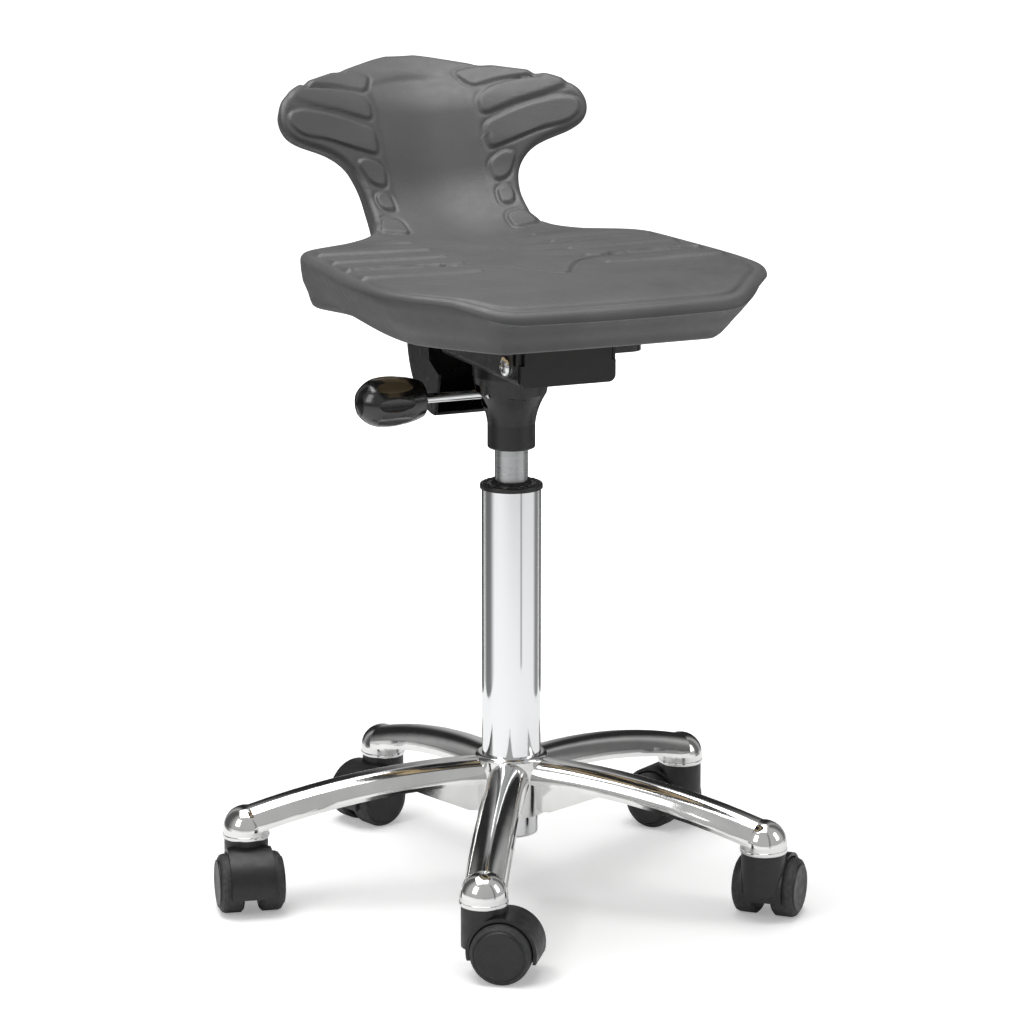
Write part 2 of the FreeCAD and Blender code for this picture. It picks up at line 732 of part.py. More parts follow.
def makePivot():
    end = "(size.housing_width / 2 - size.housing_sheet - 0.3)"
    tube = newBody("pivot_axle")
    extrude(tube, {"circles": [("-size.pivot_forward", "size.pivot_height", "size.pivot_tube_radius"),
                               ("-size.pivot_forward", "size.pivot_height", "size.pivot_screw_radius + size.snug_gap")]},
            "YZ_Plane", f"2 * {end}", midplane=True)
    place(tube, z=headHeight)
    keep(tube)
    wall = housingWall
    head = "size.screw_head_radius"
    screws = []
    for name, turn in (("pivot_screw_left", "180"), ("pivot_screw_right", "0")):
        screw = turned(name, [
            (f"{wall} - 22", "0"),
            (f"{wall} - 22", "size.pivot_screw_radius"),
            (wall, "size.pivot_screw_radius"),
            (wall, head),
            (f"{wall} + 1", head, f"-{head} * 1.1"),
            (f"{wall} + size.screw_head_height", "0"),
        ], axis="H_Axis")
        place(screw, y="-size.pivot_forward", z=f"{headHeight} + size.pivot_height", turn=turn)
        screws.append(screw)
    pair = document.addObject("Part::Compound", "pivot_screws")
    pair.Label = "pivot_screws"
    pair.Links = screws
    keep(pair)


def makeCover():
    cover = newBody("front_cover")
    half = "(size.housing_width / 2 - 1)"
    low = "(size.housing_bottom - 0.5)"
    top = "(size.housing_top - 1)"
    corner = "size.cover_corner"
    extrude(cover, [
        (f"-{half}", f"{low} + {corner}", corner),
        (f"-{half} + {corner}", low),
        (f"{half} - {corner}", low, corner),
        (half, f"{low} + {corner}"),
        (half, top),
        (f"-{half}", top),
    ], "XZ_Plane", "size.cover_thickness", offset="size.housing_front")
    tongue = f"({housingInside} - 0.1)"
    foot = "(size.housing_bottom + size.housing_sheet + 4)"
    extrude(cover, box(f"-{tongue}", tongue, foot, top), "XZ_Plane", "9",
            offset="size.housing_front - 9")
    extrude(cover, box(f"-{tongue} + 2", f"{tongue} - 2", f"{foot} + 2", f"{top} + 1"), "XZ_Plane", "9",
            offset="size.housing_front", remove=True)
    notch = "(size.pivot_height + 4)"
    for sign in ("-", ""):
        near, far = f"{sign}({half} - size.cover_notch_width)", f"{sign}({half} + 2)"
        extrude(cover, box(near, far, notch, f"{notch} + size.cover_notch_height"), "XZ_Plane",
                "40", offset="size.housing_front", midplane=True, remove=True)
    place(cover, z=headHeight)
    keep(cover)


def makeLevers():
    pivot = "size.lever_pivot_offset"
    rod = newBody("lift_lever_rod")
    rodEnd = f"({knobStart} + size.knob_length - size.knob_cap)"
    extrude(rod, {"circles": [("0", "0", "size.lever_radius")]}, "YZ_Plane", f"{rodEnd} + 2", offset=f"-{rodEnd}")
    extrude(rod, {"circles": [(f"-{pivot}", "0", "size.stub_pin_radius")]}, "XZ_Plane",
            "size.stub_pin_length", midplane=True)
    place(rod, z=f"{headHeight} + size.lever_height")
    knob = newBody("lift_lever_knob")
    start = knobStart
    end = f"({start} + size.knob_length)"
    full = "size.knob_radius"
    bore = "(size.lever_radius + size.snug_gap)"
    revolve(knob, [
        (f"-{end} + size.knob_cap - size.seat_gap", "0"),
        (f"-{end}", "0"),
        (f"-{end} + 3", f"{full} * 0.5", "-26"),
        (f"-{end} + 17", f"{full} - 1", "-60"),
        (f"-{start} - 20", f"{full} - 1", "-60"),
        (f"-{start} - 1", f"{full} * 0.72"),
        (f"-{start}", f"{full} * 0.66"),
        (f"-{start}", bore),
        (f"-{end} + size.knob_cap - size.seat_gap", bore),
    ], axis="H_Axis")
    flute = extrude(knob, {"circles": [("0", f"{full} + size.flute_radius - size.flute_depth", "size.flute_radius")]}, "YZ_Plane",
                    "size.knob_length", offset=f"-{end} - 1", remove=True, reverse=True)
    document.recompute()
    pattern = knob.newObject("PartDesign::PolarPattern", "lift_lever_knob_flutes")
    pattern.Originals = [flute]
    pattern.Axis = (newSketch(knob, "YZ_Plane"), ["N_Axis"])
    pattern.Angle = 360
    pattern.Occurrences = int(value("size.flute_count"))
    knob.Tip = pattern
    place(knob, z=f"{headHeight} + size.lever_height")
    keep(rod, knob)
    reach = "size.tilt_lever_reach"
    lever = turned("tilt_lever_rod", [
        (f"{housingInside} - 6", "0"),
        (f"{housingInside} - 6", "size.lever_radius + 3"),
        (f"{housingInside} - 0.3", "size.lever_radius + 3"),
        (f"{housingInside} - 0.3", "size.lever_radius"),
        (f"{reach} - size.tilt_grip_cap", "size.lever_radius"),
        (f"{reach} - size.tilt_grip_cap", "0"),
    ], axis="H_Axis")
    grip = newBody("tilt_lever_grip")
    width = "(size.tilt_grip_width / 2)"
    thick = "size.tilt_grip_thickness"
    inner = f"({reach} - size.tilt_grip_length)"
    extrude(grip, [
        (inner, f"-{width} + 6"),
        (f"{inner} + 10", f"-{width}"),
        (f"{reach} - {width}", f"-{width}", width),
        (reach, "0", width),
        (f"{reach} - {width}", width),
        (f"{inner} + 10", width),
        (inner, f"{width} - 6"),
    ], "XY_Plane", thick, midplane=True)
    extrude(grip, {"circles": [("0", "0", "size.lever_radius + size.snug_gap")]}, "YZ_Plane",
            f"{reach} - size.tilt_grip_cap + size.seat_gap", remove=True, reverse=True)
    for item in (lever, grip):
        place(item, y="-size.tilt_lever_forward", z=f"{headHeight} + size.tilt_lever_height")
    keep(lever, grip)


def makeSprings():
    bottom = "(size.housing_bottom + size.housing_sheet)"
    springs = []
    for name, sign in (("spring_left", "-"), ("spring_right", "")):
        spring = turned(name, [
            ("0", bottom),
            ("size.spring_radius", bottom),
            ("size.spring_radius", "size.carrier_height - size.spring_gap - 2", "2"),
            ("size.spring_radius - 2", "size.carrier_height - size.spring_gap"),
            ("0", "size.carrier_height - size.spring_gap"),
        ])
        place(spring, f"{sign}size.spring_spread", "size.spring_back", headHeight)
        springs.append(spring)
    pair = document.addObject("Part::Compound", "elastomer_springs")
    pair.Label = "elastomer_springs"
    pair.Links = springs
    keep(pair)


# Seat carrier

def makeCarrier():
    carrier = newBody("seat_carrier")
    half = "(size.carrier_width / 2)"
    extrude(carrier, [
        (f"-{half} + 8", "-size.carrier_front"),
        (f"{half} - 8", "-size.carrier_front", "8"),
        (half, "-size.carrier_front + 8"),
        (half, "size.carrier_rear - 8", "8"),
        (f"{half} - 8", "size.carrier_rear"),
        (f"-{half} + 8", "size.carrier_rear", "8"),
        (f"-{half}", "size.carrier_rear - 8"),
        (f"-{half}", "-size.carrier_front + 8", "8"),
    ], "XY_Plane", "size.carrier_sheet", offset="size.carrier_height")
    ear = "(size.housing_width / 2 - size.housing_sheet - 0.5)"
    y = "size.pivot_forward"
    outline = [
        (f"-{y} - size.ear_radius", "size.pivot_height", "size.ear_radius"),
        (f"-{y}", "size.pivot_height - size.ear_radius", "size.ear_radius"),
        (f"-{y} + size.ear_radius", "size.pivot_height"),
        (f"-{y} + 14", "size.carrier_height"),
        (f"-{y} - size.ear_radius", "size.carrier_height"),
    ]
    extrude(carrier, outline, "YZ_Plane", f"2 * {ear}", midplane=True)
    extrude(carrier, box(f"-{y} - 20", f"-{y} + 20", "size.pivot_height - 20", "size.carrier_height"),
            "YZ_Plane", f"2 * ({ear} - size.housing_sheet)", midplane=True, remove=True)
    extrude(carrier, {"circles": [(f"-{y}", "size.pivot_height", "size.pivot_tube_radius + size.running_gap")]},
            "YZ_Plane", "size.housing_width", midplane=True, remove=True)
    spread = "size.bolt_spread"
    holes = [(x, y, "size.bolt_radius + size.seat_gap") for x in (f"-{spread}", spread)
             for y in ("-size.bolt_forward", "size.bolt_back")]
    extrude(carrier, {"circles": holes}, "XY_Plane", "size.carrier_sheet * 4",
            offset="size.carrier_height", midplane=True, remove=True)
    place(carrier, z=headHeight)
    keep(carrier)


def makeBracket():
    bracket = newBody("rear_bracket")
    radius = "size.bracket_radius"
    centre = "(size.bracket_front + 9.1)"
    low = f"(size.carrier_height - 33 - {radius})"
    notch = "size.bracket_notch"
    extrude(bracket, [
        (f"{centre} + {radius}", "size.carrier_height"),
        (f"{centre} + 16", "size.carrier_height"),
        (f"{centre} + 16", f"{notch} + 31"),
        (f"{centre} + 11", f"{notch} + 9"),
        ("size.bracket_front", notch),
        (centre, low, radius),
        (f"{centre} + {radius}", f"{low} + {radius}"),
    ], "YZ_Plane", "size.housing_width", midplane=True)
    inner = f"({radius} - size.housing_sheet)"
    extrude(bracket, [
        (f"{centre} + {inner}", "size.carrier_height"),
        (f"{centre} - 40", "size.carrier_height"),
        (f"{centre} - 40", f"{low} + size.housing_sheet"),
        (centre, f"{low} + size.housing_sheet", inner),
        (f"{centre} + {inner}", f"{low} + {radius}"),
    ], "YZ_Plane", f"2 * {housingInside}", midplane=True, remove=True)
    place(bracket, z=headHeight)
    keep(bracket)


def makeBolts():
    top = f"({insertTop} - 1)"
    bolts = []
    for index, (x, y) in enumerate([(x, y) for x in ("-size.bolt_spread", "size.bolt_spread")
                                    for y in ("-size.bolt_forward", "size.bolt_back")], 1):
        bolt = turned(f"bolt_{index}", [
            ("0", "size.carrier_height - size.bolt_head_height"),
            ("size.bolt_head_radius - 0.8", "size.carrier_height - size.bolt_head_height"),
            ("size.bolt_head_radius", "size.carrier_height - size.bolt_head_height + 0.8"),
            ("size.bolt_head_radius", "size.carrier_height"),
            ("size.bolt_radius", "size.carrier_height"),
            ("size.bolt_radius", top),
            ("0", top),
        ])
        place(bolt, x, y, headHeight)
        bolts.append(bolt)
    group = document.addObject("Part::Compound", "seat_bolts")
    group.Label = "seat_bolts"
    group.Links = bolts
    keep(group)


def insertOutline(grow):
    half = f"(size.insert_width / 2 + {grow})"
    front = f"(size.insert_front + {grow})"
    rear = f"(size.insert_rear + {grow})"
    corner = "size.insert_corner"
    return [
        (f"-{half} + {corner}", f"-{front}"),
        (f"{half} - {corner}", f"-{front}", corner),
        (half, f"-{front} + {corner}"),
        (half, f"{rear} - {corner}", corner),
        (f"{half} - {corner}", rear),
        (f"-{half} + {corner}", rear, corner),
        (f"-{half}", f"{rear} - {corner}"),
        (f"-{half}", f"-{front} + {corner}", corner),
    ]


def makeInsert():
    insert = newBody("seat_insert")
    foot = "(size.carrier_height + size.carrier_sheet)"
    extrude(insert, insertOutline("0"), "XY_Plane", "size.insert_thickness", offset=foot)
    holes = [(x, y, "size.bolt_radius + size.snug_gap") for x in ("-size.bolt_spread", "size.bolt_spread")
             for y in ("-size.bolt_forward", "size.bolt_back")]
    extrude(insert, {"circles": holes}, "XY_Plane", "2 * (size.insert_thickness - 1) + 0.1",
            offset=foot, midplane=True, remove=True)
    place(insert, z=headHeight)
    keep(insert)


# Moulded seat

def profilePoint(distance):
    """Point and slope of the seat's centre line; zero is where the pan starts to bend up."""
    bend = value("size.bend_radius")
    slope = math.radians(value("size.back_slope"))
    topSlope = math.radians(value("size.top_slope"))
    crown = value("size.top_bend_radius")
    y, z = value("size.bend_start"), value("size.pan_top")
    if distance <= 0:
        reach = max(-distance - (value("size.bend_start") + value("size.pan_front") - 50), 0) / 50
        return y + distance, z - value("size.pan_front_drop") * reach ** 2, 0
    lower = min(distance, bend * slope)
    y += bend * math.sin(lower / bend)
    z += bend * (1 - math.cos(lower / bend))
    angle = lower / bend
    rest = distance - lower
    straight = min(rest, value("size.back_straight"))
    y += straight * math.cos(angle)
    z += straight * math.sin(angle)
    rest -= straight
    turn = min(rest / crown, slope - topSlope)
    y += crown * (math.sin(angle) - math.sin(angle - turn))
    z += crown * (math.cos(angle - turn) - math.cos(angle))
    angle -= turn
    rest -= crown * turn
    return y + rest * math.cos(angle), z + rest * math.sin(angle), angle


def sheetSection(distance, halfWidth, sink, thickness):
    """A closed wire across the seat: a dished top arc, a bottom arc and two side lines."""
    y, z, angle = profilePoint(distance)
    curve = value("size.wing_curve") * min(max((distance - 20) / 110, 0), 1)
    across = FreeCAD.Vector(1, 0, 0)
    up = FreeCAD.Vector(0, -math.sin(angle), math.cos(angle))
    middle = FreeCAD.Vector(0, y, z)

    def dish(direction, level):
        spots = []
        for part in (-1, -0.6, -0.25, 0.25, 0.6, 1):
            x = part * direction * halfWidth
            spots.append(middle + across * x + up * (curve * x * x + level))
        spline = Part.BSplineCurve()
        spline.interpolate(spots)
        return spline.toShape()

    top = dish(1, -sink)
    low = dish(-1, -thickness)
    ends = [edge.Vertexes for edge in (top, low)]
    right = Part.LineSegment(ends[0][-1].Point, ends[1][0].Point).toShape()
    left = Part.LineSegment(ends[1][-1].Point, ends[0][0].Point).toShape()
    return Part.Wire([top, right, low, left])


def seatSheet(sink, depth=1):
    """The thick curved sheet that the seat's outlines are cut from."""
    bendEnd = value("size.bend_radius") * math.radians(value("size.back_slope"))
    topEnd = bendEnd + value("size.back_straight") + value("size.top_bend_radius") * math.radians(
        value("size.back_slope") - value("size.top_slope")) + value("size.top_length")
    front = -(value("size.bend_start") + value("size.pan_front")) - 4
    pan, back = value("size.pan_thickness"), value("size.back_thickness")
    stations = [front, front + 25, front + 54, -120, -20]
    stations += [bendEnd * part for part in (0.2, 0.5, 0.8, 1.05)]
    stations += [bendEnd + (topEnd - bendEnd) * part for part in (0.35, 0.6, 0.8, 1)]
    sections = []
    for distance in stations:
        share = min(max((distance + 20) / (bendEnd + 20), 0), 1)
        drop = value("size.pan_top") - profilePoint(distance)[1] if distance < 0 else 0
        thickness = (pan + (back - pan) * share - drop) * depth
        sections.append(sheetSection(distance, value("size.pan_half_width") + 8, sink, thickness))
    return Part.makeLoft(sections, True, False)


def shapeFeature(name, shape):
    feature = document.addObject("Part::Feature", name)
    feature.Shape = shape
    return feature


def panOutline(inset):
    """The pan seen from above: wide shoulders that draw in to the narrow back."""
    half = f"(size.pan_half_width - {inset})"
    front = f"(size.pan_front - {inset})"
    waist = f"(size.waist_half_width - {inset})"
    rear = f"(size.pan_rear - {inset})"
    side = [
        ("size.pan_front_half", f"-{front} + 8", f"120 - {inset}"),
        (f"{half} - 22", f"-{front} + 70", f"52 - {inset}"),
        (half, f"-{front} + 110", "900"),
        (f"{half} - 6", f"size.pan_rear_corner - 20 - {inset}", f"42 - {inset}"),
        (f"{half} - 42", f"{rear} - 6", "180"),
        (f"{waist} + 26", f"{rear} + 8", f"-34 - {inset}"),
        (waist, f"{rear} + 36"),
        (waist, "size.pan_rear + 60"),
    ]
    corners = list(side)
    for index in reversed(range(len(side))):
        x, y = side[index][:2]
        arc = side[index - 1][2:] if index else ("700",)
        corners.append((f"-({x})", y) + arc)
    return corners


def symmetric(corners, sign):
    """The corners of one side of the seat, turned over for the other side when sign is minus."""
    if not sign:
        return corners
    return [(f"-{corner[0]}",) + tuple(corner[1:]) for corner in corners]


padOutlines = [
    [("39", "290"), ("49.5", "280.5"), ("76.2", "285.5"), ("112.3", "292"), ("83.8", "295.5")],
    [("49.5", "270.5"), ("51.4", "257"), ("80.9", "266"), ("119", "277", "16"), ("125.7", "285"), ("90.4", "283.5", "200")],
    [("50.5", "249"), ("51.4", "228.5"), ("90.4", "241"), ("123.8", "252", "14"), ("134.2", "266", "12"),
     ("123.8", "272"), ("83.8", "263", "120")],
    [("47.6", "217"), ("50.5", "201.5"), ("63.8", "205.5"), ("75.2", "226"), ("62.8", "225")],
    [("49.5", "193"), ("48.6", "184"), ("59", "184"), ("63.8", "188"), ("63.8", "197"), ("58.1", "199")],
    [("48.6", "177"), ("47.6", "168"), ("74.3", "171"), ("64.7", "181")],
]


def makeSeat():
    pan = newBody("pan_outline")
    sections = []
    for height, inset in (
        ("size.underside_height - 4", "size.pan_inset"),
        ("size.pan_top - 12", "0"),
        ("size.pan_top + 24", "4"),
    ):
        sketch = newSketch(pan, "XY_Plane", height)
        drawOutline(sketch, panOutline(inset))
        sections.append(sketch)
    slab = pan.newObject("PartDesign::AdditiveLoft", "pan_outline_loft")
    slab.Profile = sections[0]
    slab.Sections = sections[1:]
    slab.Ruled = True
    pan.Tip = slab
    back = newBody("back_outline")
    waist = "size.waist_half_width"
    low, tip, top = "size.wing_low_height", "size.wing_tip_height", "size.back_top_height"
    wing = "size.wing_half_width"
    extrude(back, [
        (f"-{waist}", "size.underside_height - 12"),
        (waist, "size.underside_height - 12"),
        (waist, f"{low} - 50", "-70"),
        (f"{waist} + 24", f"{low} - 6", "-50"),
        (f"{wing} - 20", f"{low} + 4", "22"),
        (wing, tip, "26"),
        (f"{wing} - 22", f"{tip} + 22", "160"),
        ("62", f"{top} - 8", "-240"),
        ("26", f"{top} - 2", "60"),
        ("-26", f"{top} - 2", "-240"),
        ("-62", f"{top} - 8", "160"),
        (f"-{wing} + 22", f"{tip} + 22", "26"),
        (f"-{wing}", tip, "22"),
        (f"-{wing} + 20", f"{low} + 4", "-50"),
        (f"-{waist} - 24", f"{low} - 6", "-70"),
        (f"-{waist}", f"{low} - 50"),
    ], "XZ_Plane", "340", offset="-340")
    grooves = newBody("pan_grooves")
    wide = "size.groove_width"
    for index in range(int(value("size.groove_count"))):
        inner = f"(size.groove_start - {index} * size.groove_pitch)"
        outer = f"({inner} * size.groove_fan)"
        near, far = "(size.channel_half_width)", f"({'size.pan_half_width - 16' if index else '130'})"
        for sign in ("", "-"):
            extrude(grooves, [
                (f"{sign}{near}", f"{inner} - {wide} / 2"),
                (f"{sign}{far}", f"{outer} - {wide} / 2"),
                (f"{sign}{far}", f"{outer} + {wide} / 2"),
                (f"{sign}{near}", f"{inner} + {wide} / 2"),
            ], "XY_Plane", "30", offset="size.pan_top - size.groove_depth")
    pads = newBody("pad_outlines")
    for corners in padOutlines:
        for sign in ("", "-"):
            if sign:
                mirrored = symmetric(corners, sign)[::-1]
                arcs = [corner[2:] for corner in corners]
                count = len(corners)
                corners = [mirrored[index][:2] + arcs[(count - 2 - index) % count] for index in range(count)]
            extrude(pads, corners, "XZ_Plane", "250", offset="-300")
    document.recompute()
    outlines = document.addObject("Part::Fuse", "seat_outlines")
    outlines.Base, outlines.Tool = pan, back
    blank = document.addObject("Part::Common", "seat_blank")
    blank.Base = shapeFeature("seat_sheet", seatSheet(0))
    blank.Tool = outlines
    pocket = newBody("insert_pocket")
    extrude(pocket, insertOutline("size.insert_gap"), "XY_Plane", "size.insert_thickness + 20",
            offset=f"{insertTop} + size.insert_gap - size.insert_thickness - 20")
    cut = document.addObject("Part::Cut", "seat_cut")
    cut.Base, cut.Tool = blank, pocket
    grooved = document.addObject("Part::Cut", "seat_grooved")
    grooved.Base, grooved.Tool = cut, grooves
    raised = document.addObject("Part::Common", "seat_pads")
    raised.Base = shapeFeature("pad_sheet", seatSheet(-value("size.pad_height"), 0.4))
    raised.Tool = pads
    seat = document.addObject("Part::Fuse", "seat_shell")
    seat.Label = "seat_shell"
    seat.Base, seat.Tool = grooved, raised
    place(seat, z=headHeight)
    keep(seat)


makeBase()
makeColumn()
makeSpindle()
for number, heading in enumerate(casterDirections, 1):
    makeCaster(number, f"{72 * (number - 1)}", f"({heading})")
makeCylinder()
makeHousing()
makePivot()
makeCover()
makeLevers()
makeSprings()
makeCarrier()
makeBracket()
makeBolts()
makeInsert()
makeSeat()
document.recompute()

for item in document.Objects:
    if "Invalid" in item.State or "Error" in item.State:
        raise RuntimeError(f"{item.Name} was not made: {item.State}")
for item in subParts:
    if item.Shape.isNull() or not item.Shape.isValid():
        raise RuntimeError(f"{item.Label} has no valid shape")
    print(item.Label, len(item.Shape.Solids), round(item.Shape.Volume), "mm3")

os.makedirs("parts", exist_ok=True)
for item in subParts:
    item.Shape.exportStep(os.path.join("parts", item.Label + ".step"))
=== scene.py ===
import json
import math

import bmesh
import bpy
import numpy as np
from mathutils import Matrix, Vector


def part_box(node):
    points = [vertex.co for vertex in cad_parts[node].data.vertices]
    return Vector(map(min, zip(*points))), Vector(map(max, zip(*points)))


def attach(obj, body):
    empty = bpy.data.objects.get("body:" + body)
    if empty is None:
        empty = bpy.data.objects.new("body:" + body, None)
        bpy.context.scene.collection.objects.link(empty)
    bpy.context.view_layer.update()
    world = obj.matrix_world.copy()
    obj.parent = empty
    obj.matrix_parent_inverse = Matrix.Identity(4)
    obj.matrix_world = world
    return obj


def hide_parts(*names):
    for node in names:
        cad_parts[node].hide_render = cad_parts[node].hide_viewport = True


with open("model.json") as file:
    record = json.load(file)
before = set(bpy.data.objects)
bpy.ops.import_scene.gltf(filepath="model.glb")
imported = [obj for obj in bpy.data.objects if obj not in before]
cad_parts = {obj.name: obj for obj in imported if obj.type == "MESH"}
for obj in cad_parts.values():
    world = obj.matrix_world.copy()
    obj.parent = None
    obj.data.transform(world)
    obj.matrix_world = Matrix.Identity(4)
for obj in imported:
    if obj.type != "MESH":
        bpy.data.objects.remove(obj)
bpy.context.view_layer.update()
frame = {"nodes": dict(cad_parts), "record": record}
mm = 0.001
print("frame loaded:", len(frame["nodes"]), "nodes")


# Small functions that every piece uses

def linear(hexColour):
    # an sRGB hex colour as the linear one that shaders take
    parts = [int(hexColour[i:i + 2], 16) / 255 for i in (1, 3, 5)]
    return tuple(p / 12.92 if p <= 0.04045 else ((p + 0.055) / 1.055) ** 2.4 for p in parts) + (1,)


def addNode(tree, kind, settings=None, links=None):
    # numbers and input names set inputs, other names set the node's own settings
    node = tree.nodes.new(kind)
    for key, setting in (settings or {}).items():
        if isinstance(key, str) and hasattr(node, key):
            setattr(node, key, setting)
        else:
            node.inputs[key].default_value = setting
    for key, source in (links or {}).items():
        tree.links.new(source, node.inputs[key])
    return node


def newMaterial(name, settings):
    material = bpy.data.materials.new(name)
    material.use_nodes = True
    tree = material.node_tree
    tree.nodes.clear()
    shader = addNode(tree, "ShaderNodeBsdfPrincipled", settings)
    addNode(tree, "ShaderNodeOutputMaterial", links={"Surface": shader.outputs[0]})
    coords = addNode(tree, "ShaderNodeTexCoord").outputs["Object"]
    return material, tree, shader, coords


def noiseAt(tree, coords, size, detail=3, stretch=(1, 1, 1)):
    # noise whose blobs are about size millimetres across, longer where stretch is over 1
    scale = tuple(1 / (size * mm * s) for s in stretch)
    spread = addNode(tree, "ShaderNodeMapping", {"Scale": scale}, {"Vector": coords})
    return addNode(tree, "ShaderNodeTexNoise", {"Scale": 1, "Detail": detail},
                   {"Vector": spread.outputs[0]}).outputs["Fac"]


def spreadTo(tree, source, low, high, start=0.3, end=0.7):
    ends = {"From Min": start, "From Max": end, "To Min": low, "To Max": high}
    return addNode(tree, "ShaderNodeMapRange", ends, {"Value": source}).outputs[0]


def twoColours(tree, source, first, second):
    return addNode(tree, "ShaderNodeMix", {"data_type": "RGBA", 6: linear(first), 7: linear(second)},
                   {0: source}).outputs[2]


def bumpFrom(tree, shader, source, height, strength=1, under=None):
    links = {"Height": source}
    if under:
        links["Normal"] = under.outputs[0]
    bump = addNode(tree, "ShaderNodeBump", {"Strength": strength, "Distance": height * mm}, links)
    tree.links.new(bump.outputs[0], shader.inputs["Normal"])
    return bump


# Materials, each named for what the real one is and how it was made

def makePolyurethane():
    # integral-skin polyurethane foam from a textured mould: soft sheen over a fine leathery grain
    material, tree, shader, coords = newMaterial("polyurethaneMoulded", {
        "Base Color": linear("#434344"), "Roughness": 0.45, "IOR": 1.48, "Sheen Weight": 0.06,
        "Sheen Roughness": 0.5, "Specular IOR Level": 0.5})
    cloud = spreadTo(tree, noiseAt(tree, coords, 60), 0, 1)
    tree.links.new(twoColours(tree, cloud, "#3f3f40", "#484849"), shader.inputs["Base Color"])
    tree.links.new(spreadTo(tree, noiseAt(tree, coords, 9), 0.43, 0.53), shader.inputs["Roughness"])
    # the real grain is 0.4 mm, drawn at 1.6 mm so that it shows in the picture
    grain = addNode(tree, "ShaderNodeTexVoronoi", {"Scale": 1 / (1.6 * mm)}, {"Vector": coords})
    pebbles = bumpFrom(tree, shader, grain.outputs["Distance"], 0.12, 0.5)
    bumpFrom(tree, shader, noiseAt(tree, coords, 3.5, 4), 0.1, 0.35, pebbles)
    return material


def makePolishedAluminium():
    # die-cast aluminium, buffed to a mirror: bright, with faint waviness and buffing streaks
    material, tree, shader, coords = newMaterial("aluminiumPolished", {
        "Base Color": linear("#e3e3e2"), "Metallic": 1, "Roughness": 0.09})
    tone = spreadTo(tree, noiseAt(tree, coords, 35), 0, 1)
    tree.links.new(twoColours(tree, tone, "#dcdcdc", "#ececea"), shader.inputs["Base Color"])
    tree.links.new(spreadTo(tree, noiseAt(tree, coords, 14), 0.06, 0.13), shader.inputs["Roughness"])
    wavy = bumpFrom(tree, shader, noiseAt(tree, coords, 18, 2), 0.25, 0.3)
    bumpFrom(tree, shader, noiseAt(tree, coords, 1.5, 2, (8, 8, 1)), 0.012, 0.3, wavy)
    return material


def makeChrome():
    # bright chrome plate on drawn steel tube: a hard mirror with a trace of draw lines
    material, tree, shader, coords = newMaterial("chromePlated", {
        "Base Color": linear("#e6e7e8"), "Metallic": 1, "Roughness": 0.045})
    tree.links.new(spreadTo(tree, noiseAt(tree, coords, 25), 0.03, 0.07), shader.inputs["Roughness"])
    bumpFrom(tree, shader, noiseAt(tree, coords, 2.5, 2, (1, 1, 40)), 0.01, 0.3)
    return material


def makeSatinSteel():
    # ground and brushed steel cylinder: soft streaks round it
    material, tree, shader, coords = newMaterial("steelSatinGround", {
        "Base Color": linear("#b4b5b6"), "Metallic": 1, "Roughness": 0.3})
    lines = noiseAt(tree, coords, 0.7, 3, (60, 60, 1))
    tree.links.new(spreadTo(tree, lines, 0.24, 0.4), shader.inputs["Roughness"])
    tree.links.new(twoColours(tree, lines, "#a7a8a9", "#c6c7c8"), shader.inputs["Base Color"])
    bumpFrom(tree, shader, lines, 0.02, 0.4)
    return material


def makePlainSteel():
    # machined and zinc-plated steel: grey with fine tool marks
    material, tree, shader, coords = newMaterial("steelMachined", {
        "Base Color": linear("#9a9b9d"), "Metallic": 1, "Roughness": 0.3})
    marks = noiseAt(tree, coords, 0.9, 3, (30, 30, 1))
    tree.links.new(spreadTo(tree, marks, 0.22, 0.4), shader.inputs["Roughness"])
    bumpFrom(tree, shader, marks, 0.02, 0.4)
    return material


def makeMouldedBlack():
    # black ABS and acetal from spark-eroded moulds: matt, with a fine even grain
    material, tree, shader, coords = newMaterial("absMoulded", {
        "Base Color": linear("#151516"), "Roughness": 0.4, "IOR": 1.53})
    tone = twoColours(tree, noiseAt(tree, coords, 12), "#111112", "#1a1a1b")
    tree.links.new(tone, shader.inputs["Base Color"])
    tree.links.new(spreadTo(tree, noiseAt(tree, coords, 6), 0.34, 0.46), shader.inputs["Roughness"])
    bumpFrom(tree, shader, noiseAt(tree, coords, 0.9, 4), 0.03, 0.5)
    return material


def makeGlossBlack():
    # black phenolic knob, tumbled to a gloss: sharp highlights with a few handling marks
    material, tree, shader, coords = newMaterial("phenolicGloss", {
        "Base Color": linear("#0f0f10"), "Roughness": 0.18, "IOR": 1.6, "Coat Weight": 0.25,
        "Coat Roughness": 0.1})
    tree.links.new(spreadTo(tree, noiseAt(tree, coords, 4, 5), 0.13, 0.27), shader.inputs["Roughness"])
    bumpFrom(tree, shader, noiseAt(tree, coords, 9), 0.08, 0.25)
    return material


def makeCasterNylon():
    # black glass-filled nylon: dull, a little scuffed near the floor
    material, tree, shader, coords = newMaterial("nylonMoulded", {
        "Base Color": linear("#121213"), "Roughness": 0.4, "IOR": 1.53})
    scuffs = spreadTo(tree, noiseAt(tree, coords, 2.2, 5), 0, 1, 0.52, 0.72)
    tree.links.new(twoColours(tree, scuffs, "#101011", "#1c1c1e"), shader.inputs["Base Color"])
    tree.links.new(spreadTo(tree, noiseAt(tree, coords, 7), 0.34, 0.5), shader.inputs["Roughness"])
    bumpFrom(tree, shader, noiseAt(tree, coords, 1.1, 4), 0.035, 0.5)
    return material


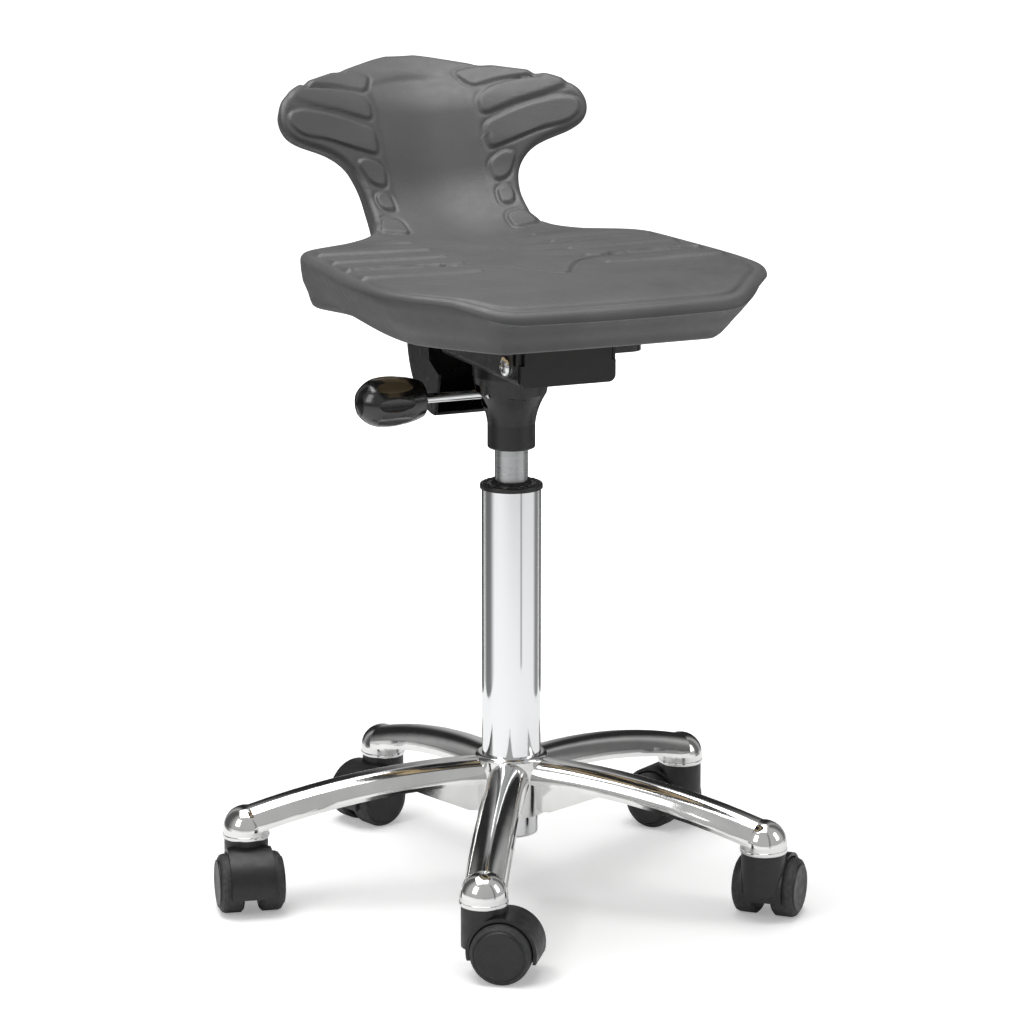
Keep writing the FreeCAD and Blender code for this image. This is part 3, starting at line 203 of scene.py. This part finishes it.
def makeSoftTread():
    # soft polyurethane tyre: dark grey and matt, with rolling marks
    material, tree, shader, coords = newMaterial("treadPolyurethane", {
        "Base Color": linear("#353537"), "Roughness": 0.6, "IOR": 1.5})
    dust = spreadTo(tree, noiseAt(tree, coords, 3.5, 5), 0, 1, 0.45, 0.75)
    tree.links.new(twoColours(tree, dust, "#2a2a2b", "#3c3c3e"), shader.inputs["Base Color"])
    bumpFrom(tree, shader, noiseAt(tree, coords, 1.3, 4), 0.05, 0.5)
    return material


def makeBlackPaint():
    # powder coat on pressed steel: satin black with orange peel
    material, tree, shader, coords = newMaterial("steelPowderCoated", {
        "Base Color": linear("#111112"), "Roughness": 0.3, "IOR": 1.5})
    tree.links.new(spreadTo(tree, noiseAt(tree, coords, 8), 0.25, 0.38), shader.inputs["Roughness"])
    bumpFrom(tree, shader, noiseAt(tree, coords, 1.8, 2), 0.05, 0.5)
    return material


def makeRubber():
    # moulded rubber: dead matt with a light bloom
    material, tree, shader, coords = newMaterial("rubberMoulded", {
        "Base Color": linear("#131313"), "Roughness": 0.75, "IOR": 1.52})
    tone = twoColours(tree, noiseAt(tree, coords, 5), "#101010", "#1d1d1d")
    tree.links.new(tone, shader.inputs["Base Color"])
    bumpFrom(tree, shader, noiseAt(tree, coords, 0.8, 3), 0.03, 0.5)
    return material


def makePlywood():
    # birch plywood insert: pale veneers 1.4 mm thick with glue lines between
    material, tree, shader, coords = newMaterial("birchPlywood", {
        "Base Color": linear("#caa878"), "Roughness": 0.6, "IOR": 1.5})
    veneers = {"bands_direction": "Z", "Scale": 1 / (2.8 * mm) / 20, "Distortion": 0.4}
    layers = addNode(tree, "ShaderNodeTexWave", veneers, {"Vector": coords}).outputs["Fac"]
    tree.links.new(twoColours(tree, layers, "#a9834f", "#d8bd90"), shader.inputs["Base Color"])
    bumpFrom(tree, shader, noiseAt(tree, coords, 2, 4, (12, 1, 1)), 0.05, 0.4)
    return material


finishes = {
    "grey_polyurethane": makePolyurethane(),
    "polished_aluminium": makePolishedAluminium(),
    "chromed_steel": makeChrome(),
    "satin_steel": makeSatinSteel(),
    "plain_steel": makePlainSteel(),
    "moulded_black": makeMouldedBlack(),
    "gloss_black": makeGlossBlack(),
    "caster_nylon": makeCasterNylon(),
    "soft_tread": makeSoftTread(),
    "black_paint": makeBlackPaint(),
    "black_rubber": makeRubber(),
    "birch_ply": makePlywood(),
}
for subPart in frame["record"]["subparts"]:
    node = frame["nodes"][subPart["node"]]
    node.data.materials.clear()
    node.data.materials.append(finishes[subPart["material_slot"]])


def finishPiece(bm, name, slotName, body, sharpAngle=40):
    # turns the bmesh into an object that rides on a body
    bmesh.ops.remove_doubles(bm, verts=bm.verts, dist=0.002 * mm)
    bmesh.ops.recalc_face_normals(bm, faces=bm.faces)
    for face in bm.faces:
        face.smooth = True
    for edge in bm.edges:
        if len(edge.link_faces) == 2 and edge.calc_face_angle(0) > math.radians(sharpAngle):
            edge.smooth = False
    mesh = bpy.data.meshes.new(name)
    bm.to_mesh(mesh)
    bm.free()
    mesh.materials.append(finishes[slotName])
    piece = bpy.data.objects.new(name, mesh)
    bpy.context.scene.collection.objects.link(piece)
    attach(piece, body)
    return piece


def lathe(profile, place, steps=48):
    # a profile of (radius, height) in millimetres, spun about Z and then placed
    bm = bmesh.new()
    points = [bm.verts.new((radius * mm, 0, height * mm)) for radius, height in profile]
    edges = [bm.edges.new(pair) for pair in zip(points, points[1:])]
    bmesh.ops.spin(bm, geom=points + edges, angle=2 * math.pi, steps=steps, use_merge=True,
                   axis=(0, 0, 1), cent=(0, 0, 0))
    bmesh.ops.remove_doubles(bm, verts=bm.verts, dist=0.002 * mm)
    bmesh.ops.transform(bm, matrix=place, verts=bm.verts)
    return bm


def facing(direction, spot):
    # stands a lathe's Z axis along a direction at a spot
    return Matrix.Translation(spot) @ direction.to_track_quat("Z", "Y").to_matrix().to_4x4()


# Moulded seat. Places on it are given as distance across and distance along its centre line,
# which is zero where the pan starts to bend up, negative towards the front.

seatLook = {
    "panRise": 47.5,            # pan top above the carrier plate
    "panFront": 226.5,
    "frontDrop": 12.5,
    "bendStart": 74,
    "bendRadius": 102.5,
    "backSlope": 60.3,
    "backStraight": 49.3,
    "crownRadius": 58,
    "crownSlope": 32.3,
    "crownLength": 50.2,
    "wingCurve": 0.00142,       # how far the wings wrap forward
    "panThickness": 46.4,
    "backThickness": 30,
    "rimRadius": 6,
    "skirtInset": 9,
    "panInset": 19,             # how much further in the foot of the pan's skirt stands
    "stepHeight": 2.7,
    "padHeight": 1.7,
    "lineDepth": 1.9,
    "hollowDepth": 3.2,
    "rowSpacing": 1.6,
    "columns": 170,
}

# half the width at distances along the centre line
seatEdge = [
    (-300.5, 0), (-300.5, 52), (-299, 99), (-284, 119), (-256, 139), (-226, 161), (-198, 171), (-165, 173),
    (-131, 172.5), (-74, 168), (-17, 163.5), (2, 159), (13, 148), (20, 124), (25, 103), (33, 84), (44, 75.5),
    (59, 72.5), (76, 71.9), (88, 72.8), (98, 75.4), (107, 80), (115, 87), (121, 97), (125, 110), (128, 125),
    (133, 136), (141, 141.5), (150, 143), (158, 141.5), (165, 136.5), (175.7, 121.9), (185.4, 104.7),
    (199, 83.8), (211.6, 62), (222, 43), (231, 24), (235.5, 8), (236, 0),
]

# raised pads on the wings and tiles beside the waist, as (across, along)
seatPads = [
    [(39, 202), (49.5, 180), (74, 183.5), (112, 178.6), (86, 195.5), (57, 205)],
    [(49.5, 169), (51, 152), (81, 160), (114, 163.5), (129.5, 165.5), (128, 173), (114, 175.5),
     (88, 179.5), (66, 178)],
    [(50.5, 144), (51, 120), (72, 125.5), (97, 132.5), (123, 134.5), (134.5, 142), (135, 154.5), (119, 159),
     (95, 157.3), (76, 153)],
    [(47.5, 108), (50.5, 89), (63.8, 92.5), (75, 114.5), (63, 118)],
    [(49.5, 77), (48.6, 64), (59, 64), (63.3, 69.9), (64, 81), (58, 85), (50, 81.5)],
    [(48, 52), (47.5, 29), (74, 34.5), (65, 57)],
]

# steps across the pan, as (inner end forward of the axis, outer end across, outer end forward)
panSteps = [(79, 118, 95), (40, 154, 47.5), (4, 159, 5.7), (-31, 158, -34), (-70, 156, -74)]
stepInner = 54
frontLine = [(0, -181), (7, -179), (19, -154), (33, -132), (48, -119), (66, -108.5),
             (90, -103.5), (118, -103), (153, -107)]


def roundCorners(points, closed, radius=1e3):
    # swaps each corner for a short curve that starts a radius away, or halfway along a short side
    points = [np.array(point, float) for point in points]
    rounded = []
    for index, corner in enumerate(points):
        if not closed and index in (0, len(points) - 1):
            rounded.append(corner)
            continue
        ends = []
        for other in (points[index - 1], points[(index + 1) % len(points)]):
            length = max(np.linalg.norm(other - corner), 1e-9)
            ends.append(corner + (other - corner) * min(radius / length, 0.499))
        for share in (0, 0.2, 0.4, 0.6, 0.8, 1):
            middle = corner * 2 * share * (1 - share)
            rounded.append(ends[0] * (1 - share) ** 2 + middle + ends[1] * share ** 2)
    return np.array(rounded)


def distanceTo(spots, line, closed):
    # distance from each spot to a line of points, and whether it is inside a closed one
    ends = np.roll(line, -1, 0) if closed else line[1:]
    starts = line if closed else line[:-1]
    nearest = np.full(len(spots), 1e9)
    inside = np.zeros(len(spots), bool)
    for a, b in zip(starts, ends):
        along = b - a
        share = np.clip(((spots - a) @ along) / max(along @ along, 1e-9), 0, 1)
        nearest = np.minimum(nearest, np.linalg.norm(spots - a - share[:, None] * along, axis=1))
        crosses = (a[1] > spots[:, 1]) != (b[1] > spots[:, 1])
        if closed and crosses.any():
            side = a[0] + (spots[:, 1] - a[1]) / (along[1] if along[1] else 1e-9) * along[0]
            inside ^= crosses & (spots[:, 0] < side)
    return nearest, inside


def ease(values, start, end):
    share = np.clip((values - start) / (end - start), 0, 1)
    return share * share * (3 - 2 * share)


def hill(values, width):
    return np.exp(-(values / width) ** 2)


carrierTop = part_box("seat_carrier")[1].z / mm
panTop = carrierTop + seatLook["panRise"]
bendLength = seatLook["bendRadius"] * math.radians(seatLook["backSlope"])


def frontDip(along):
    lip = np.clip((-along - seatLook["bendStart"] - seatLook["panFront"] + 50) / 50, 0, 1.3)
    return seatLook["frontDrop"] * lip ** 2


def seatPoint(across, along, level):
    # the seat's surface in millimetres, lifted by level along its normal
    look = seatLook
    slope, crownSlope = math.radians(look["backSlope"]), math.radians(look["crownSlope"])
    bend = np.clip(along, 0, bendLength) / look["bendRadius"]
    straight = np.clip(along - bendLength, 0, look["backStraight"])
    rest = along - bendLength - look["backStraight"]
    turn = np.clip(rest / look["crownRadius"], 0, slope - crownSlope)
    last = np.maximum(rest - look["crownRadius"] * (slope - crownSlope), 0)
    y = look["bendStart"] + np.minimum(along, 0) + look["bendRadius"] * np.sin(bend)
    y = y + straight * math.cos(slope)
    z = panTop - frontDip(along) + look["bendRadius"] * (1 - np.cos(bend)) + straight * math.sin(slope)
    y += look["crownRadius"] * (math.sin(slope) - np.sin(slope - turn)) + last * math.cos(crownSlope)
    z += look["crownRadius"] * (np.cos(slope - turn) - math.cos(slope)) + last * math.sin(crownSlope)
    angle = bend - turn
    lift = level + look["wingCurve"] * across ** 2 * np.clip((along - 20) / 110, 0, 1)
    return np.stack([across, y - np.sin(angle) * lift, z + np.cos(angle) * lift], 1) * mm


def thicknessAt(along):
    look = seatLook
    share = np.clip((along - 20) / (bendLength - 20), 0, 1)
    thin = look["panThickness"] + (look["backThickness"] - look["panThickness"]) * share
    return thin - frontDip(along)


def stepRelief(across, along):
    # louvre-like steps on both sides of the pan: each slopes up to its front edge, then drops
    forward = along + seatLook["bendStart"]
    relief = np.zeros(len(across))
    inner = np.array([step[0] for step in panSteps], float)
    slant = np.array([(step[2] - step[0]) / (step[1] - stepInner) for step in panSteps])
    lines = inner[None, :] + slant[None, :] * (across[:, None] - stepInner) * (across[:, None] > 0)
    for index in range(len(panSteps)):
        behind = forward - lines[:, index]
        reach = 30 if index else 24
        ramp = np.clip(1 - behind / reach, 0, 1) * ease(behind, -1.3, 1.3)
        relief = np.maximum(relief, ramp)
    return relief


def seatRelief(across, along, edgeDistance):
    # everything moulded into the top: pads, steps, lines, the hollow and the rim bead
    look = seatLook
    side = np.abs(across)
    spots = np.stack([side, along], 1)
    relief = np.zeros(len(side))
    for corners in seatPads:
        line = roundCorners(corners, True, 7)
        gap, inside = distanceTo(spots, line, True)
        signed = np.where(inside, gap, -gap)
        relief += look["padHeight"] * ease(signed, -0.9, 1.8) - 0.8 * hill(signed + 1.4, 1.6)
    steps = stepRelief(side, along)
    onSides = ease(side, stepInner - 1, stepInner + 2) * ease(edgeDistance, 9, 13)
    fading = ease(side, 14, stepInner) * 0.45
    reach = np.maximum(onSides, fading * (side < stepInner + 2))
    relief += look["stepHeight"] * steps * reach * ease(-along, -22, -2)
    gap, _ = distanceTo(spots, roundCorners(frontLine, False), False)
    forward = along + look["bendStart"]
    inFront = ease(edgeDistance, 10, 16)
    relief += (0.75 * hill(gap - 2.2, 1.7) - look["lineDepth"] * hill(gap, 1.9)) * inFront
    bead = ease(-forward, -70, -20) * 0.6 + 0.4 * ease(-forward, 60, 110)
    relief -= 2.0 * hill(edgeDistance - 11, 2.3) * bead
    hollow = hill(side, 34) * ease(along, -96, 30) * (1 - ease(along, 196, 214))
    relief -= look["hollowDepth"] * hollow
    crescent = 1 - ease(along + side * side * 0.007, 199, 207)
    relief -= 1.1 * ease(50 - side, 0, 8) * ease(along, 60, 100) * crescent
    saddle = hill(side - 78, 42) * hill(forward + 60, 80)
    relief -= 1.6 * saddle
    return relief


def widthInside(along, outline, inset):
    # half the seat's width at each distance along it, the inset taken off all round
    low = np.zeros(len(along))
    high = np.full(len(along), 180.0)
    reach = np.linspace(0, 180, 361)
    half = np.zeros(len(along))
    for index, place in enumerate(along):
        spots = np.stack([reach, np.full(len(reach), place)], 1)
        gap, inside = distanceTo(spots, outline, True)
        fits = inside & (gap >= inset)
        last = np.nonzero(fits)[0]
        if not len(last):
            continue
        a = last[-1]
        b = min(a + 1, len(reach) - 1)
        share = (gap[a] - inset) / max(gap[a] - (gap[b] if inside[b] else -gap[b]), 1e-6)
        half[index] = reach[a] + min(share, 1) * (reach[b] - reach[a])
    return half


def seatGrid(bm, outline, inset, spacing, columns):
    # a grid that fills the outline less the inset; returns its vertices and their (across, along)
    first, last = seatEdge[0][0] + inset, seatEdge[-1][0] - inset - (2 if inset < 10 else 8)
    rows = int((last - first) / spacing)
    made = bmesh.ops.create_grid(bm, x_segments=columns, y_segments=rows, size=1)["verts"]
    share = np.array([vert.co[:2] for vert in made], float)
    along = first + (share[:, 1] + 1) / 2 * (last - first)
    steps = np.linspace(first, last, rows + 1)
    half = np.interp(along, steps, np.maximum(widthInside(steps, outline, inset), 2))
    return made, np.stack([share[:, 0] * half, along], 1)


def makeSeat():
    look = seatLook
    half = roundCorners([(across, along) for along, across in seatEdge], False)
    outline = np.concatenate([half, half[::-1][1:-1] * (-1, 1)])
    bm = bmesh.new()
    top, spots = seatGrid(bm, outline, look["rimRadius"], look["rowSpacing"], look["columns"])
    gap, _ = distanceTo(spots, outline, True)
    relief = seatRelief(spots[:, 0], spots[:, 1], gap)
    points = seatPoint(spots[:, 0], spots[:, 1], relief)
    known = {}
    for vert, spot, level, point in zip(top, spots, relief, points):
        vert.co = point
        known[vert] = [spot, level]
    ring = [edge for edge in bm.edges if edge.is_boundary]
    for vert in {vert for edge in ring for vert in edge.verts}:
        ends = [edge.other_vert(vert) for edge in vert.link_edges if edge.is_boundary]
        along = known[ends[1]][0] - known[ends[0]][0]
        outward = np.array([along[1], -along[0]]) / max(np.linalg.norm(along), 1e-9)
        inner = np.mean([known[v][0] for face in vert.link_faces for v in face.verts], 0)
        known[vert].append(outward if (known[vert][0] - inner) @ outward > 0 else -outward)
    quarter = [(look["rimRadius"] * math.sin(turn), look["rimRadius"] * (1 - math.cos(turn)), 0)
               for turn in np.radians([15, 30, 45, 60, 75, 90])]
    inset = look["rimRadius"] - look["skirtInset"]
    rounding = [(look["rimRadius"] - 0.4, 0, 0.3), (look["rimRadius"] - 1.8, 0, 0.5), (inset + 3, 0, 0.72)]
    foot = [(inset + 1, -6, 1), (inset - 0.6, -2.6, 1), (inset - 3.4, -0.6, 1), (inset - 7, 0, 1)]
    for outward, down, share in quarter + rounding + foot:
        made = bmesh.ops.extrude_edge_only(bm, edges=ring)["geom"]
        ring = [item for item in made if isinstance(item, bmesh.types.BMEdge)]
        fresh = [item for item in made if isinstance(item, bmesh.types.BMVert)]
        for vert in fresh:
            old = next(edge.other_vert(vert) for edge in vert.link_edges if edge.other_vert(vert) in known
                       and edge not in ring)
            spot, level, normal = known[old]
            known[vert] = [spot, level, normal]
        spots = np.array([known[vert][0] for vert in fresh])
        sides = np.array([known[vert][2] for vert in fresh])
        extra = look["panInset"] * share * (1 - ease(spots[:, 1], -60, 0))
        place = spots + sides * (outward - extra)[:, None]
        level = np.array([known[vert][1] for vert in fresh])
        drop = thicknessAt(place[:, 1]) * share + down
        if share:
            drop = np.maximum(drop, look["rimRadius"])
        for vert, point in zip(fresh, seatPoint(place[:, 0], place[:, 1], level * (1 - share) - drop)):
            vert.co = point
    under, spots = seatGrid(bm, outline, 16 + look["skirtInset"] - look["rimRadius"] + 4, 7, 30)
    spots[:, 0] *= 1 - look["panInset"] / 150 * (1 - ease(spots[:, 1], -60, 0))
    spots[:, 1] += look["panInset"] * np.clip((-60 - spots[:, 1]) / 200, 0, 1)
    for vert, point in zip(under, seatPoint(spots[:, 0], spots[:, 1], -thicknessAt(spots[:, 1]))):
        vert.co = point
    fresh = set(under)
    inner = [edge for edge in bm.edges if edge.is_boundary and edge.verts[0] in fresh]
    bmesh.ops.bridge_loops(bm, edges=ring + inner)
    seat = finishPiece(bm, "seatMoulding", "grey_polyurethane", "seat", 60)
    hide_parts("seat_shell")
    return seat


seatMoulding = makeSeat()
print("seat made:", len(seatMoulding.data.polygons), "faces")


# Caster caps: a shallow moulded disc on the outside of each wheel

capLook = {"discRadius": 20.2, "rise": 1.1}


def makeCaps():
    profile = [
        (0, 0.2), (6, 0.25), (12, 0.4), (16, 0.62), (18.4, capLook["rise"]),
        (capLook["discRadius"] - 0.3, 0.85),
        (capLook["discRadius"], 0.5), (capLook["discRadius"], -0.4), (18, -0.4), (15.2, -0.3), (0, -0.3),
    ]
    for number in range(1, 6):
        centres = {}
        for side in ("left", "right"):
            low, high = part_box(f"caster_{number}_wheel_{side}")
            centres[side] = (low + high) / 2
        for side, other in (("left", "right"), ("right", "left")):
            outward = (centres[side] - centres[other]).normalized()
            reach = ((centres[side] - centres[other]).length / 2 + 10.4 * mm - 0.6 * mm)
            middle = (centres["left"] + centres["right"]) / 2
            bm = lathe(profile, facing(outward, middle + outward * reach), 48)
            finishPiece(bm, f"casterCap_{number}_{side}", "caster_nylon", f"caster_{number}_{side}")


makeCaps()
print("caster caps made")


# Polished lip at the foot of each arm

lipLook = {"radius": 19.5, "proud": 0.4, "height": 3.2}


def makeArmLips():
    for number in range(1, 6):
        stemLow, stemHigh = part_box(f"caster_{number}_stem")
        middle = (stemLow + stemHigh) / 2
        foot = Vector((middle.x, middle.y, 59.9 * mm))
        radius, proud, height = lipLook["radius"], lipLook["proud"], lipLook["height"]
        profile = [(radius - 1, 0), (radius + proud * 0.5, 0), (radius + proud, 0.6),
                   (radius + proud, height - 0.8), (radius + proud * 0.6, height - 0.1),
                   (radius - 0.3, height + 0.2), (radius - 1, height), (radius - 1, 0)]
        lip = lathe(profile, Matrix.Translation(foot), 64)
        finishPiece(lip, f"armLip_{number}", "polished_aluminium", "base")


makeArmLips()


# Column top: a wiper seal round the gas cylinder and a ribbed ring moulded on the bush

columnLook = {"sealInner": 14.35, "sealOuter": 17.6, "sealHeight": 1.6, "ribs": 24,
              "ribInner": 20.3, "ribOuter": 24.2}


def makeColumnTop():
    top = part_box("guide_bush")[1].z
    inner, outer, height = columnLook["sealInner"], columnLook["sealOuter"], columnLook["sealHeight"]
    profile = [(inner, 0), (inner, height), (inner + 0.9, height + 0.5), (outer - 0.6, 0.7), (outer, 0), (inner, 0)]
    seal = lathe(profile, Matrix.Translation((0, 0, top)), 64)
    finishPiece(seal, "wiperSeal", "black_rubber", "base")
    bm = bmesh.new()
    for index in range(columnLook["ribs"]):
        made = bmesh.ops.create_cube(bm, size=1)["verts"]
        length = columnLook["ribOuter"] - columnLook["ribInner"]
        bmesh.ops.scale(bm, vec=(length * mm, 2.6 * mm, 0.8 * mm), verts=made)
        middle = (columnLook["ribInner"] + length / 2) * mm
        bmesh.ops.translate(bm, vec=(middle, 0, top + 0.3 * mm), verts=made)
        turned = Matrix.Rotation(index * 2 * math.pi / columnLook["ribs"], 3, "Z")
        bmesh.ops.rotate(bm, cent=(0, 0, 0), matrix=turned, verts=made)
    bmesh.ops.bevel(bm, geom=bm.edges, offset=0.25 * mm, offset_type="OFFSET", segments=2, profile=0.5,
                    affect="EDGES", material=-1)
    finishPiece(bm, "bushRibs", "moulded_black", "base")


makeColumnTop()


# Pivot screws: pan heads with a round recess where the real ones have six lobes, and their shanks

screwLook = {"headRadius": 8.3, "headHeight": 4.5, "recessRadius": 2.6, "recessDepth": 2.2, "shankRadius": 4}


def makePivotScrews():
    low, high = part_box("pivot_screws")
    middle = (low + high) / 2
    look = screwLook
    bm = bmesh.new()
    for side in (-1, 1):
        outward = Vector((side, 0, 0))
        face = Vector((high.x if side > 0 else low.x, middle.y, middle.z))
        radius, height = look["headRadius"], look["headHeight"]
        shank, recess = look["shankRadius"], look["recessRadius"]
        profile = [(0, -22), (shank - 0.6, -22), (shank, -21), (shank, -height),
                   (radius - 0.3, -height), (radius, -height + 0.4), (radius, -height + 1.2)]
        for turn in (20, 40, 60, 72):
            angle = math.radians(turn)
            profile.append((radius * math.cos(angle), -height + 1.2 + (height - 1.2) * math.sin(angle)))
        profile += [(recess, 0), (recess - 0.2, -look["recessDepth"]), (0, -look["recessDepth"] - 0.5)]
        part = lathe(profile, facing(outward, face), 48)
        mesh = bpy.data.meshes.new("screwPart")
        part.to_mesh(mesh)
        part.free()
        bm.from_mesh(mesh)
        bpy.data.meshes.remove(mesh)
    screws = finishPiece(bm, "pivotScrewHeads", "chromed_steel", "lift", 30)
    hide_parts("pivot_screws")


makePivotScrews()
print("small pieces made")


# Camera, at the photograph's viewing angle

cameraLook = {
    "azimuth": 23.49,       # degrees to the sitter's left front
    "distance": 3191.8,     # from the column's axis, level
    "height": 1059.9,
    "pitch": 12.909,
    "lens": 137.04,
    "shift": 0.00064,
}


# Studio: pale floor, white surround, soft boxes and dark cards that only the metal sees

studioLook = {
    "floorSize": 40,
    "worldLight": 0.24,
    "mirrorLight": 0.5,        # the surround as the metal and the glossy parts reflect it
    "floorColour": "#f2f2f2",
    "floorGlow": 0.3,          # light that only the camera sees, so that the paper looks white
    "glowStart": 0.5,
    "glowEnd": 1.6,
}


def makeWorld():
    world = bpy.data.worlds.new("studioWorld")
    bpy.context.scene.world = world
    world.use_nodes = True
    tree = world.node_tree
    tree.nodes.clear()
    path = addNode(tree, "ShaderNodeLightPath")
    clear = addNode(tree, "ShaderNodeMath", {"operation": "MAXIMUM"},
                    {0: path.outputs["Is Camera Ray"], 1: path.outputs["Is Transmission Ray"]})
    white = linear("#ffffff")
    light, mirrored, paper = [
        addNode(tree, "ShaderNodeBackground", {"Color": white, "Strength": strength}).outputs[0]
        for strength in (studioLook["worldLight"], studioLook["mirrorLight"], 1)]
    both = addNode(tree, "ShaderNodeMixShader", links={0: path.outputs["Is Glossy Ray"], 1: light, 2: mirrored})
    both = addNode(tree, "ShaderNodeMixShader", links={0: clear.outputs[0], 1: both.outputs[0], 2: paper})
    addNode(tree, "ShaderNodeOutputWorld", links={"Surface": both.outputs[0]})


def makeFloor():
    bm = bmesh.new()
    bmesh.ops.create_grid(bm, x_segments=2, y_segments=2, size=studioLook["floorSize"] / 2)
    mesh = bpy.data.meshes.new("studioFloor")
    bm.to_mesh(mesh)
    bm.free()
    floor = bpy.data.objects.new("studioFloor", mesh)
    bpy.context.scene.collection.objects.link(floor)
    material = bpy.data.materials.new("floorPaper")
    material.use_nodes = True
    tree = material.node_tree
    tree.nodes.clear()
    path = addNode(tree, "ShaderNodeLightPath")
    coords = addNode(tree, "ShaderNodeTexCoord").outputs["Object"]
    away = addNode(tree, "ShaderNodeVectorMath", {"operation": "LENGTH"}, {0: coords}).outputs["Value"]
    level = addNode(tree, "ShaderNodeMapRange", {
        "From Min": studioLook["glowStart"], "From Max": studioLook["glowEnd"],
        "To Min": studioLook["floorGlow"], "To Max": 1}, {"Value": away})
    glow = addNode(tree, "ShaderNodeMath", {"operation": "MULTIPLY"},
                   {0: path.outputs["Is Camera Ray"], 1: level.outputs[0]})
    paper = addNode(tree, "ShaderNodeBsdfDiffuse", {"Color": linear(studioLook["floorColour"])})
    light = addNode(tree, "ShaderNodeEmission", {"Color": linear("#ffffff")}, {"Strength": glow.outputs[0]})
    both = addNode(tree, "ShaderNodeAddShader", links={0: paper.outputs[0], 1: light.outputs[0]})
    addNode(tree, "ShaderNodeOutputMaterial", links={"Surface": both.outputs[0]})
    mesh.materials.append(material)


softBoxes = {
    # name: (place in metres, aimed at, width, height, watts)
    "topBox": ((-0.25, 0.1, 2.5), (0, 0, 0.4), 2.0, 2.0, 68),
    "leftBox": ((-2.3, -0.9, 1.6), (0, 0, 0.5), 1.0, 1.6, 16),
    "rightBox": ((2.1, -1.6, 1.5), (0, 0, 0.4), 0.9, 1.6, 12),
}

darkCards = {
    # name: (degrees round from the camera, to its right, distance, width, height, darkness)
    "cardLeft": (-100, 0.62, 0.85, 1.1, 0.8),
    "cardLeftBack": (-150, 0.62, 0.6, 1.1, 0.95),
    "cardRightBack": (155, 0.62, 0.7, 1.1, 0.95),
    "cardRight": (112, 0.62, 0.5, 1.1, 0.7),
    "cardFront": (38, 0.75, 0.16, 1.0, 0.5),
}


def aimed(place, target):
    return (Vector(target) - Vector(place)).to_track_quat("-Z", "Y").to_euler()


def makeLights():
    for name, (place, target, width, height, watts) in softBoxes.items():
        lamp = bpy.data.lights.new(name, "AREA")
        lamp.shape = "RECTANGLE"
        lamp.size, lamp.size_y, lamp.energy = width, height, watts
        box = bpy.data.objects.new(name, lamp)
        box.location = place
        box.rotation_euler = aimed(place, target)
        bpy.context.scene.collection.objects.link(box)


def makeCards():
    # soft-edged dark cards round the stool, as in a product photographer's tent; only mirrors see them
    facingCamera = math.radians(cameraLook["azimuth"])
    for name, (turn, distance, width, height, darkness) in darkCards.items():
        material = bpy.data.materials.new(name + "Cloth")
        material.use_nodes = True
        tree = material.node_tree
        tree.nodes.clear()
        coords = addNode(tree, "ShaderNodeUVMap").outputs[0]
        spread = addNode(tree, "ShaderNodeSeparateXYZ", links={0: coords})
        middle = addNode(tree, "ShaderNodeMath", {"operation": "PINGPONG", 1: 0.5}, {0: spread.outputs["X"]})
        soft = addNode(tree, "ShaderNodeMapRange", {
            "interpolation_type": "SMOOTHSTEP", "From Min": 0, "From Max": 0.4, "To Min": 0,
            "To Max": darkness}, {"Value": middle.outputs[0]})
        clear = addNode(tree, "ShaderNodeBsdfTransparent")
        black = addNode(tree, "ShaderNodeBsdfDiffuse", {"Color": linear("#0c0c0c")})
        both = addNode(tree, "ShaderNodeMixShader",
                       links={0: soft.outputs[0], 1: clear.outputs[0], 2: black.outputs[0]})
        addNode(tree, "ShaderNodeOutputMaterial", links={"Surface": both.outputs[0]})
        bm = bmesh.new()
        bmesh.ops.create_grid(bm, x_segments=1, y_segments=1, size=0.5)
        layer = bm.loops.layers.uv.new("cardMap")
        for face in bm.faces:
            for loop in face.loops:
                loop[layer].uv = (loop.vert.co.x + 0.5, loop.vert.co.y + 0.5)
        bmesh.ops.scale(bm, vec=(width, height, 1), verts=bm.verts)
        bmesh.ops.rotate(bm, matrix=Matrix.Rotation(math.pi / 2, 3, "X"), cent=(0, 0, 0), verts=bm.verts)
        bmesh.ops.translate(bm, vec=(0, -distance, height / 2 + 0.002), verts=bm.verts)
        turned = Matrix.Rotation(math.radians(turn) - facingCamera, 3, "Z")
        bmesh.ops.rotate(bm, matrix=turned, cent=(0, 0, 0), verts=bm.verts)
        mesh = bpy.data.meshes.new(name)
        bm.to_mesh(mesh)
        bm.free()
        mesh.materials.append(material)
        card = bpy.data.objects.new(name, mesh)
        bpy.context.scene.collection.objects.link(card)
        card.visible_camera = False
        card.visible_diffuse = False
        card.visible_shadow = False
        card.visible_transmission = False


makeWorld()
makeFloor()
makeLights()
makeCards()
print("studio made")


def makeCamera():
    data = bpy.data.cameras.new("photoCamera")
    data.lens, data.sensor_width = cameraLook["lens"], 36
    data.shift_x = cameraLook["shift"]
    camera = bpy.data.objects.new("photoCamera", data)
    turn = math.radians(cameraLook["azimuth"])
    distance = cameraLook["distance"] * mm
    camera.location = (-distance * math.sin(turn), -distance * math.cos(turn), cameraLook["height"] * mm)
    camera.rotation_euler = (math.radians(90 - cameraLook["pitch"]), 0, -turn)
    bpy.context.scene.collection.objects.link(camera)
    bpy.context.scene.camera = camera


makeCamera()
bpy.context.scene.view_settings.view_transform = "Standard"
print("camera made, all done")
